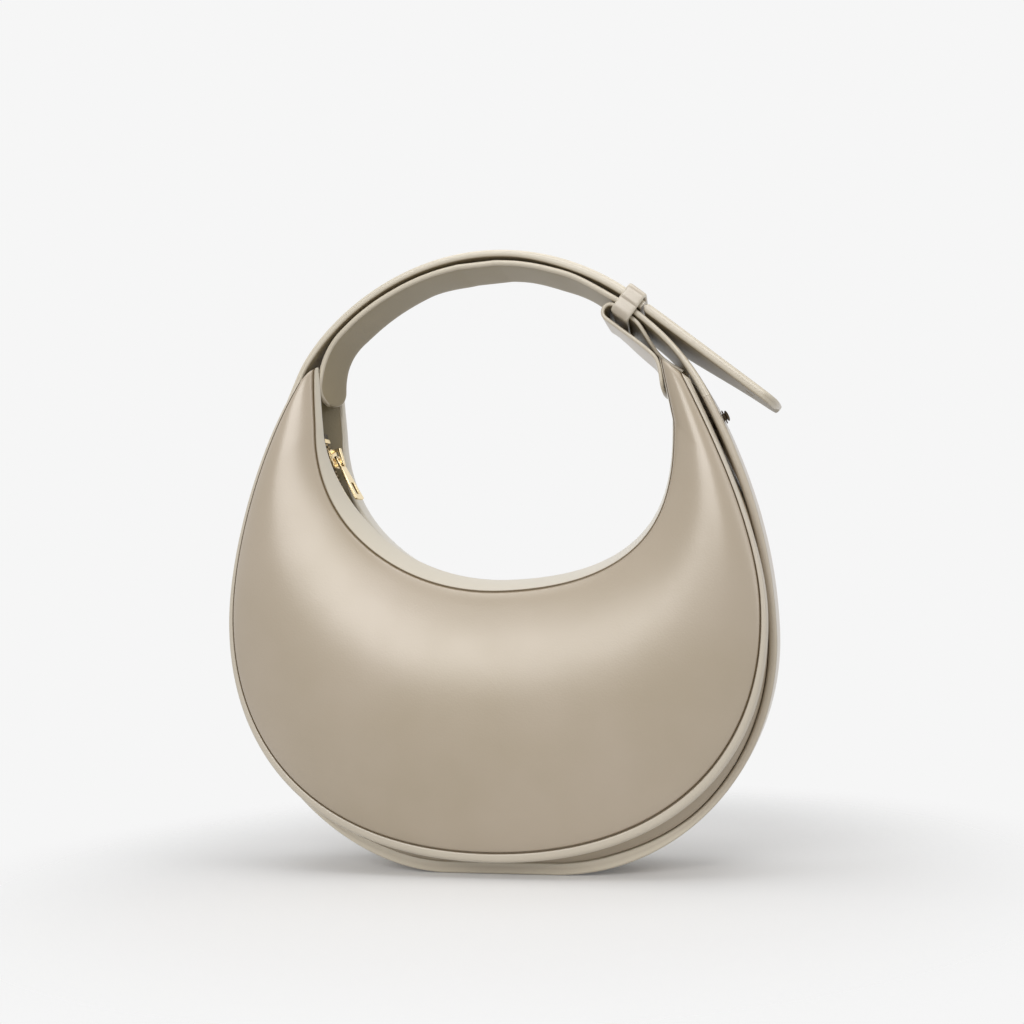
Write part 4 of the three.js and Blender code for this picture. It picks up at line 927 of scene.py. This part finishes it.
# Depths from the bag's middle, at the horns and at the bottom
SEAM_DEPTH, MOUTH_SEAM_DEPTH, RIM_DEPTH, STRIP_DEPTH = (16.8, 25), (15.2, 20.5), (12.2, 5), (2.2, 4.6)
EDGE_STRIP_WIDTH, BACK_NARROW, DOME_LOW, DOME_HIGH = 4.2, 0.965, 13.5, 13
edge_line = Line(
    bend(LEFT_HORN["outer"], (-106, 186), (EDGE_LEFT, EDGE_UP), (EDGE_LEFT, EDGE_Z)),
    bend((EDGE_LEFT, EDGE_Z), (EDGE_LEFT, EDGE_DOWN), (-75, EDGE_BOTTOM), (0, EDGE_BOTTOM)),
    bend((0, EDGE_BOTTOM), (75, EDGE_BOTTOM), (EDGE_RIGHT, EDGE_DOWN), (EDGE_RIGHT, EDGE_Z)),
    bend((EDGE_RIGHT, EDGE_Z), (EDGE_RIGHT, EDGE_UP), (102, 178), RIGHT_HORN["outer"]),
)
mouth_line = Line(
    [LEFT_HORN["mouth"], (-76, 196)],
    bend((-76, 196), (-76, 161), (-42, 124.6), MOUTH_LOW),
    bend(MOUTH_LOW, (58, 124.6), (81, 143), (82.8, 188)),
    [(82.8, 188), RIGHT_HORN["mouth"]],
)


class Crescent:
    """Cross lines of the front (side -1) or back (side 1) at shares u of the way round."""

    def __init__(self, side, u):
        self.side = side
        self.u = np.asarray(u, float)
        self.round = np.maximum(np.sin(np.pi * self.u), 0)[:, None]
        self.edge = edge_line.at(self.u * edge_line.length)
        if side > 0:
            self.edge[:, :1] *= mix(1, BACK_NARROW, ramp(self.round, 0.05, 0.4))
        way = mouth_line.at(self.u * mouth_line.length) - self.edge
        self.span = np.linalg.norm(way, axis=1)[:, None]
        self.way = way / self.span
        self.seam = mix(*SEAM_DEPTH, self.round ** 0.45)
        self.mouth_seam = mix(*MOUTH_SEAM_DEPTH, self.round ** 0.45)
        self.rim = mix(*RIM_DEPTH, ramp(self.round, 0.25, 0.75))
        self.seam_at = self.span - 0.32 * (self.mouth_seam - self.rim)
        self.rim_at = self.span if side < 0 else self.seam_at + 0.1 * (self.mouth_seam - self.rim)
        self.edge_strip = np.minimum(EDGE_STRIP_WIDTH, 0.28 * self.span)

    def dome(self, q):
        """How far the leather stands from the middle of the bag, at a distance q from its outer edge."""
        full = self.span / (MOUTH_LOW[1] - EDGE_BOTTOM)
        v = np.clip(q / self.seam_at, 0, 1)
        w = 1 - v
        low, high = self.seam + DOME_LOW * full, self.seam + DOME_HIGH * full
        return w ** 3 * self.seam + 3 * w * w * v * low + 3 * w * v * v * high + v ** 3 * self.mouth_seam

    def at(self, q, y):
        q, y = np.broadcast_arrays(q, y)
        x, z = (self.edge[:, i, None] + self.way[:, i, None] * q for i in (0, 1))
        return np.stack([x, self.side * y, z], axis=-1)


SIDES = {"front": -1, "back": 1}
whole = np.linspace(0, 1, 241)
print("crescent spans", Crescent(-1, [0, 0.25, 0.5, 0.75, 1]).span.ravel().round(1), "mm")

# %% [markdown]
# ## Panels
#
# A panel is one piece of leather, sewn to a strip along each edge. At a seam the leather turns down into the groove
# and pulls the surface in for a few millimetres. Leather is never quite even, so the dome also gets a slow swell of
# a third of a millimetre. That is too small to see as a shape, but it keeps the highlight from looking ruled.

# %% Panels
PANEL_THICK = 1.6
SEAM_GAP, SEAM_TURN, SEAM_PULL = 0.32, 1.0, 0.45


def slow_swell(points):
    x, z = points[..., 0], points[..., 2]
    return 0.16 * np.sin(x / 17 + 0.4) * np.sin(z / 23 + 1.1) + 0.13 * np.sin((x + 0.7 * z) / 31 + 2.0)


def panel(name, side):
    c = Crescent(side, whole)
    start = c.edge_strip + SEAM_GAP
    stop = c.seam_at - SEAM_GAP
    turn = np.minimum(SEAM_TURN, 0.3 * (stop - start))
    rim = np.radians([0, 25, 50, 70, 90])
    inside = np.linspace(0, 1, 40)[1:-1]
    down, level_in = turn * (1 - np.cos(rim)), mix(start + turn, stop - turn, inside)
    q = joined(start + down, level_in, stop - down[:, ::-1])
    groove = turn * (1 - np.sin(rim))
    sink = joined(groove, np.zeros_like(level_in), groove[:, ::-1])
    pull = SEAM_PULL * (np.exp(-(q - start) / 1.9) + np.exp(-(stop - q) / 1.9))
    level = c.dome(q) - pull
    calm = ramp(np.minimum(q - start, stop - q), 0, 12)
    level = level + calm * slow_swell(c.at(q, level))
    # Painted shade in both seam grooves; along the mouth seam it fades past the bottom towards the right horn
    mouth_seam = (1 - 0.8 * ramp(c.u, 0.56, 0.72))[:, None] * np.exp(-((stop - q) / 0.35) ** 2)
    edge = -np.exp(-((q - start) / 0.4) ** 2) - mouth_seam
    return loft(name, c.at(q, level - sink), c.at(q, level - PANEL_THICK), edge, np.zeros_like(edge))


for word, side in SIDES.items():
    made = piece(panel(word + "_panel", side), LEATHER)
    print(made.name, len(made.data.polygons), "faces")

# %% [markdown]
# ## Rolled strips
#
# Two strips frame each panel. The outer one rolls over the corner of the bag from its face to its side, and it has a
# seam allowance, a thin flap that runs on under the panel: it is what the needle goes through, and it closes the bottom
# of the seam groove. The upper one starts in the seam along the mouth and runs in to the rim, where it turns down to
# the zip. Its front half is steep, so from the right it shows on the left of the mouth and hides on the right.

# %% Edge strips and mouth strips
ALLOWANCE = 3.0


def edge_strip(name, side):
    c = Crescent(side, whole)
    wide, depth = c.edge_strip, mix(*STRIP_DEPTH, c.round)
    turn, near = np.minimum(2.0, 0.38 * wide), np.minimum(0.8, 0.2 * wide)
    corner, seam = np.radians([0, 18, 36, 54, 72, 90]), np.radians([0, 30, 60, 90])
    middle = np.linspace(0, 1, 6)[1:-1]
    level = mix(turn, wide - near, middle)
    q = joined(turn * (1 - np.cos(corner)), level, wide - near + near * np.sin(seam))
    fall = joined(turn * (1 - np.sin(corner)), np.zeros_like(level), near * (1 - np.cos(seam)))
    swell = 0.3 * np.sin(np.pi * np.clip(q / wide, 0, 1)) + 0.16 * q
    top = c.seam + 0.1 + swell * np.minimum(1, wide / EDGE_STRIP_WIDTH) - fall
    flap = np.clip((q - 0.5 * wide) / (0.5 * wide), 0, 1)
    under_q = q + ALLOWANCE * flap * np.minimum(1, wide / EDGE_STRIP_WIDTH)
    floor = mix(c.seam - depth, c.seam - 1.6 + 0.16 * under_q, flap)
    # A pale painted highlight over the strip, and painted shade in the seam next to the panel
    edge = 0.3 - 1.2 * np.exp(-((wide - q) / 0.35) ** 2)
    return loft(name, c.at(q, np.maximum(top, floor + 0.2)), c.at(under_q, floor), edge, np.zeros_like(edge))


def mouth_strip(name, side):
    c = Crescent(side, whole)
    start_y = c.mouth_seam - np.minimum(0.9, 0.2 * (c.mouth_seam - c.rim))
    share = np.concatenate([[0, 0.01, 0.03, 0.06], np.linspace(0.1, 0.92, 12), [0.95, 0.975, 0.99, 1]])
    y = mix(start_y, c.rim, share)
    puff = np.minimum(0.5, 0.1 * (c.mouth_seam - c.rim)) * np.sin(np.pi * share) ** 0.6
    roll = 0.9 * np.clip((share - 0.92) / 0.08, 0, 1) ** 2
    q = mix(c.seam_at + 0.15, c.rim_at, share) + puff - roll
    under_y = mix(start_y - 0.8 * (c.mouth_seam - start_y), c.rim, share)
    under_q = mix(c.seam_at - 0.9, c.rim_at - 1.7, share)
    # A pale painted highlight over the strip, and painted shade in the seam where it starts
    edge = 0.8 - 1.55 * np.exp(-((start_y - y) / 0.3) ** 2)
    return loft(name, c.at(q, y), c.at(np.minimum(under_q, q - 0.3), under_y), edge, np.zeros_like(edge))


for word, side in SIDES.items():
    piece(edge_strip(word + "_edge_binding", side), PAINTED_HIGHLIGHT_LEATHER)
    piece(mouth_strip(word + "_mouth_binding", side), PAINTED_HIGHLIGHT_LEATHER)

# %% [markdown]
# ## Gusset, linings, board and pocket
#
# Under the belt a gusset joins the two crescents, and its margins turn in under their strips. Inside it lie the lining,
# a fibre board that keeps the base flat and a slip pocket on the back.

# %% Gusset
GUSSET_THICK, GUSSET_GAP, HORN_SINK, MARGIN_SINK, LINING_THICK = 1.6, 0.02, 2.4, 1.4, 0.8


def edge_depth(steps, side):
    """How far below the belt's outer face the outer edge of a crescent lies, next to each place on the ring."""
    edge = Crescent(side, np.linspace(0, 1, 800)).edge
    away = edge[None] - ring_line.at(steps)[:, None]
    along = np.abs((away * ring_line.forward(steps)[:, None]).sum(-1))
    below = -(away * ring_line.outward(steps)[:, None]).sum(-1)
    nearest = np.argmin(along + 100 * (np.abs(below) > 30), axis=1)
    return np.take_along_axis(below, nearest[:, None], axis=1)


def gusset_rows(steps, sink, thick, half, margin=0.0):
    """Rows of a strip under the belt. Its margins, of a given width, turn in under the crescents' edges."""
    point, out = ring_line.at(steps)[:, None], ring_line.outward(steps)[:, None]
    across = np.sort(np.concatenate([np.linspace(-1, 1, 33), [-0.97, 0.97]]))
    y = half[:, None] * across
    depth = band_thick(steps)[:, None] + GUSSET_GAP + HORN_SINK * ramp(point[..., 1], 145, 184) + sink + 0 * y
    if margin:
        meet = np.where(y < 0, edge_depth(steps, -1), edge_depth(steps, 1)) + MARGIN_SINK + sink
        depth = depth + np.maximum(0, meet - depth) * ramp(np.abs(y), half[:, None] - margin, half[:, None])

    def rows(extra):
        return belt_lean(in_space(point - out * (depth + extra)[..., None], y))

    return rows(0), rows(thick)


def gusset_half(steps):
    share = np.clip((steps - band_start) / (band_end - band_start), 0, 1)
    c = Crescent(-1, share)
    return (c.seam - mix(*STRIP_DEPTH, c.round)).ravel()


gusset_steps = np.linspace(band_start - 4, band_end + 8, 240)
gusset_skins = gusset_rows(gusset_steps, 0, GUSSET_THICK, gusset_half(gusset_steps) + 1.2, margin=6.0)
# Painted shadow along the gusset where the belt's edges lie on it
gusset_painted_shadow = -0.9 * np.exp(-((np.abs(gusset_skins[0][..., 1]) - BELT_WIDTH / 2) / 1.6) ** 2)
piece(loft("gusset", *gusset_skins, gusset_painted_shadow), PAINTED_SHADE_GUSSET_LEATHER)
print("gusset", round(gusset_steps[-1] - gusset_steps[0]), "mm long")

# %% Linings, board and pocket
def cloth_skin(name, side, shares, start, stop, sink):
    """Cloth that follows the inside of a dome, between two shares of the way round."""
    c = Crescent(side, shares)
    q = mix(start(c), stop(c), np.linspace(0, 1, 25))
    ripple = 0.25 * np.sin(q / 9 + 40 * c.u[:, None])
    level = c.dome(q) - sink - 0.3 + ripple
    return loft(name, c.at(q, level), c.at(q, level - LINING_THICK))


for word, side in SIDES.items():
    made = piece(cloth_skin(word + "_lining", side, np.linspace(0.12, 0.88, 120), lambda c: 9.0 + 0 * c.span,
                            lambda c: c.span - 13, PANEL_THICK + 0.8), LINING)
lining_steps = np.linspace(band_start + 45, band_end - 45, 160)
made = piece(loft("gusset_lining", *gusset_rows(lining_steps, GUSSET_THICK + GAP, LINING_THICK,
                                                gusset_half(lining_steps) - 1.9, margin=4.0)), LINING)
made = piece(cloth_skin("inner_pocket", 1, np.linspace(0.42, 0.58, 40), lambda c: 0.2 * c.span, lambda c: 0.6 * c.span,
                        PANEL_THICK + LINING_THICK + 1.6), LINING)
board_steps = np.linspace(band_middle - 58, band_middle + 58, 50)
board_end = np.minimum(board_steps - board_steps[0], board_steps[-1] - board_steps) + 0.3
board_half = 14.0 * round_share(board_end, 9)
piece(loft("base_stiffener", *gusset_rows(board_steps, GUSSET_THICK + LINING_THICK + 2 * GAP, 2.0, board_half)), BOARD)

# %% [markdown]
# ## Inside the mouth
#
# From the rim of each mouth strip a leather facing goes down to the zip. The back one is seen at the left, above the
# zip, where its dark olive colour is painted shade.

# %% Facings
FACING_START, FACING_END = {"front": 0.03, "back": 0.018}, 0.988


def facing(word):
    c = Crescent(SIDES[word], np.linspace(FACING_START[word], FACING_END, 200))
    top = c.rim_at - 1.2
    bottom = c.rim_at - np.minimum(10, 0.5 * c.span)
    share = np.linspace(0, 1, 12)
    q = mix(bottom, top, share)
    y = mix(5.2, c.rim + 0.15, share)
    # Painted shade deepening down towards the zip, and a faint painted highlight at the rim
    edge = np.broadcast_to(0.3 * share - 0.15, q.shape)
    return loft(word + "_mouth_facing", c.at(q, y + 1.2), c.at(q, y), edge)


for word in SIDES:
    piece(facing(word), PAINTED_SHADE_INSIDE_LEATHER)
print("facings made")

# %% [markdown]
# ## The zip
#
# The zip lies on a circle under the mouth. Each tooth is a small cast block with a narrow waist, clamped on the edge of
# its tape, and the two rows mesh by half a pitch. All teeth of a row are one mesh, which is lighter than many objects.

# %% Tapes and teeth
ZIP_MIDDLE, ZIP_RADIUS, TOOTH_PITCH = np.array([6.5, 204.5]), 89.0, 2.0
# Ends of each on the circle, in degrees from straight down
TAPE_ENDS, TEETH_ENDS, STOPS = (-84, 70), (-80.2, 65.8), {"left": -81.4, "right": 66.9}


def zip_place(angle, height, y):
    """A place on the zip: degrees from straight down, height above the tape towards the handle, and y."""
    angle = np.radians(angle)
    reach = ZIP_RADIUS - height
    x = ZIP_MIDDLE[0] + reach * np.sin(angle)
    z = ZIP_MIDDLE[1] - reach * np.cos(angle)
    return np.stack(np.broadcast_arrays(x, y, z), axis=-1)


def zip_tape(name, side):
    angle = np.linspace(*TAPE_ENDS, 180)[:, None]
    across = np.array([1.0, 1.3, 1.9, 2.5, 3.0, 3.6, 4.2, 4.8])
    bead = 0.45 * np.exp(-((across - 1.5) / 0.45) ** 2)
    top = zip_place(angle, bead - 0.05, side * across)
    bottom = zip_place(angle, -0.8 - bead, side * across)
    return loft(name, top, bottom)


TOOTH = np.array([  # along, across (from the tape's edge out to the hook), top height
    (-0.62, 2.7, 1.3), (0.62, 2.7, 1.3), (0.62, 1.6, 1.75), (0.36, 1.15, 1.8), (0.66, 0.6, 1.8), (0.5, 0.05, 1.6),
    (-0.5, 0.05, 1.6), (-0.66, 0.6, 1.8), (-0.36, 1.15, 1.8), (-0.62, 1.6, 1.75),
])


def zip_teeth(name, side):
    """A row of teeth. Each is four rings of points, from its foot to its top, which is drawn in a little."""
    pitch = math.degrees(TOOTH_PITCH / ZIP_RADIUS)
    places = np.arange(TEETH_ENDS[0] + (0 if side < 0 else pitch / 2), TEETH_ENDS[1], pitch)
    along, across, top = TOOTH.T
    middle = TOOTH[:, :2].mean(0)
    rings = []
    for scale, height in ((0.86, 0.42), (1.0, 0.72), (1.0, top - 0.22), (0.82, top)):
        angle = places[:, None] + np.degrees((middle[0] + (along - middle[0]) * scale) / ZIP_RADIUS)
        rings.append(zip_place(angle, height, side * (middle[1] + (across - middle[1]) * scale)))
    points = joined(*rings).reshape(-1, 3)
    count = len(TOOTH)
    faces = []
    for foot in range(0, len(points), 4 * count):
        head = foot + 3 * count
        for low in range(foot, head, count):
            faces += wall(low, low + count, count)
        faces += [list(range(foot, foot + count))[::-1], list(range(head, head + count))]
    return make_mesh(name, points, faces)


for word, side in SIDES.items():
    piece(zip_tape(word + "_zip_tape", side), ZIP_CLOTH)
    made = piece(zip_teeth(word + "_zip_chain", side), DARK_GOLD)
    print(made.name, len(made.data.polygons), "faces")

# %% [markdown]
# ## Stops, slider and pull
#
# Small cast parts are bevelled everywhere: an edge that is quite sharp never glints. They are built as plates, and the
# bevel is cut into the mesh afterwards. The slider is two shields held apart by a wedge, with a bridge on top; the pull
# hangs on the bridge and has a small window.

# %% Cast parts
import bmesh

SLIDER_ANGLE = -75.5


def tilted(points, degrees):
    """Turns points about the y axis, from x towards z."""
    a = np.radians(degrees)
    x, y, z = np.asarray(points, float).T
    return np.stack([x * np.cos(a) - z * np.sin(a), y, x * np.sin(a) + z * np.cos(a)], axis=1)


def box_plate(x0, x1, y0, y1, z0, z1):
    return plate([(x0, y0), (x1, y0), (x1, y1), (x0, y1)], z0, z1)


def cast(name, plates, angle, height, bevel, lift=0.0):
    """One cast part of bevelled plates. x runs along the zip to the right, z up off the tape, and lift tilts it."""
    whole_part = bmesh.new()
    for points, faces in plates:
        part = bmesh.new()
        corners = [part.verts.new(p) for p in points]
        for face in faces:
            part.faces.new([corners[i] for i in face])
        bmesh.ops.recalc_face_normals(part, faces=part.faces)
        sharp = [e for e in part.edges if len(e.link_faces) == 2 and e.calc_face_angle(0) > math.radians(25)]
        bmesh.ops.bevel(part, geom=sharp, offset=bevel, segments=3, profile=0.6, affect="EDGES", clamp_overlap=True)
        kept = bpy.data.meshes.new("plate")
        part.to_mesh(kept)
        part.free()
        whole_part.from_mesh(kept)
        bpy.data.meshes.remove(kept)
    local = tilted([v.co for v in whole_part.verts], lift)
    for vert, place in zip(whole_part.verts, zip_place(angle, height, 0) + tilted(local, angle)):
        vert.co = Vector(place) * MM
    mesh = bpy.data.meshes.new(name)
    whole_part.to_mesh(mesh)
    whole_part.free()
    mesh.shade_smooth()
    mesh.set_sharp_from_angle(angle=math.radians(40))
    return mesh


for word, angle in STOPS.items():
    stop = cast("zip_stop_" + word, [box_plate(-1, 1, -2.6, 2.6, 0.4, 1.9)], angle, 0, bevel=0.35)
    piece(stop, GOLD)
print("stops made")

# %% Slider
SHIELD = [(-4.5, -2.3), (-4.1, -2.9), (-1.5, -3.2), (2.2, -3.6), (3.9, -3.6), (4.5, -3.1), (4.5, 3.1), (3.9, 3.6),
          (2.2, 3.6), (-1.5, 3.2), (-4.1, 2.9), (-4.5, 2.3)]
chain_top, slider_top, slider_floor = 1.9, 3.6, -1.4
bridge_low, bridge_high = slider_top + 2.6, slider_top + 3.8
slider_plates = [
    plate(SHIELD, slider_top - 1.1, slider_top),
    plate(SHIELD, slider_floor - 1.1, slider_floor),
    box_plate(-3.3, 3.3, -0.3, 0.3, slider_floor - 0.5, slider_top - 0.5),
    box_plate(-4.0, 4.0, -1.1, 1.1, bridge_low, bridge_high),
    box_plate(-4.0, -2.8, -1.1, 1.1, slider_top - 0.4, bridge_high - 0.2),
    box_plate(2.8, 4.0, -1.1, 1.1, slider_top - 0.4, bridge_high - 0.2),
    box_plate(-4.2, 4.2, -3.5, -2.85, chain_top, slider_top - 0.6),
    box_plate(-4.2, 4.2, 2.85, 3.5, chain_top, slider_top - 0.6),
]
slider = cast("zip_slider", slider_plates, SLIDER_ANGLE, 0, bevel=0.22)
piece(slider, GOLD, body="slider")
print("slider", len(slider.polygons), "faces")

# %% Pull
pull_height = slider_top + 1.3
PULL_LENGTH, PULL_EYE = 22.0, 5.6
pull_outline = [(4.7, -2.7), (PULL_LENGTH - 1.0, -4.2), (PULL_LENGTH - 0.3, -4.0), (PULL_LENGTH, -3.4),
                (PULL_LENGTH, 3.4), (PULL_LENGTH - 0.3, 4.0), (PULL_LENGTH - 1.0, 4.2), (4.7, 2.7)]
pull_window = [(13.4, -1.5), (19.0, -1.5), (19.3, -1.35), (19.4, -1.1), (19.4, 1.1), (19.3, 1.35), (19.0, 1.5),
               (13.4, 1.5)]
arm = 1.5
pull_plates = [
    plate(pull_outline, -0.6, 0.6, pull_window),
    box_plate(-0.6, 0.6, -arm - 1.2, arm + 1.2, -0.6, 0.6),
    box_plate(-0.6, PULL_EYE - 0.4, -arm - 1.2, -arm, -0.6, 0.6),
    box_plate(-0.6, PULL_EYE - 0.4, arm, arm + 1.2, -0.6, 0.6),
]
pull = cast("zip_pull", pull_plates, SLIDER_ANGLE, pull_height, bevel=0.2, lift=13)
piece(pull, GOLD, body="pull")
print("pull", len(pull.polygons), "faces")
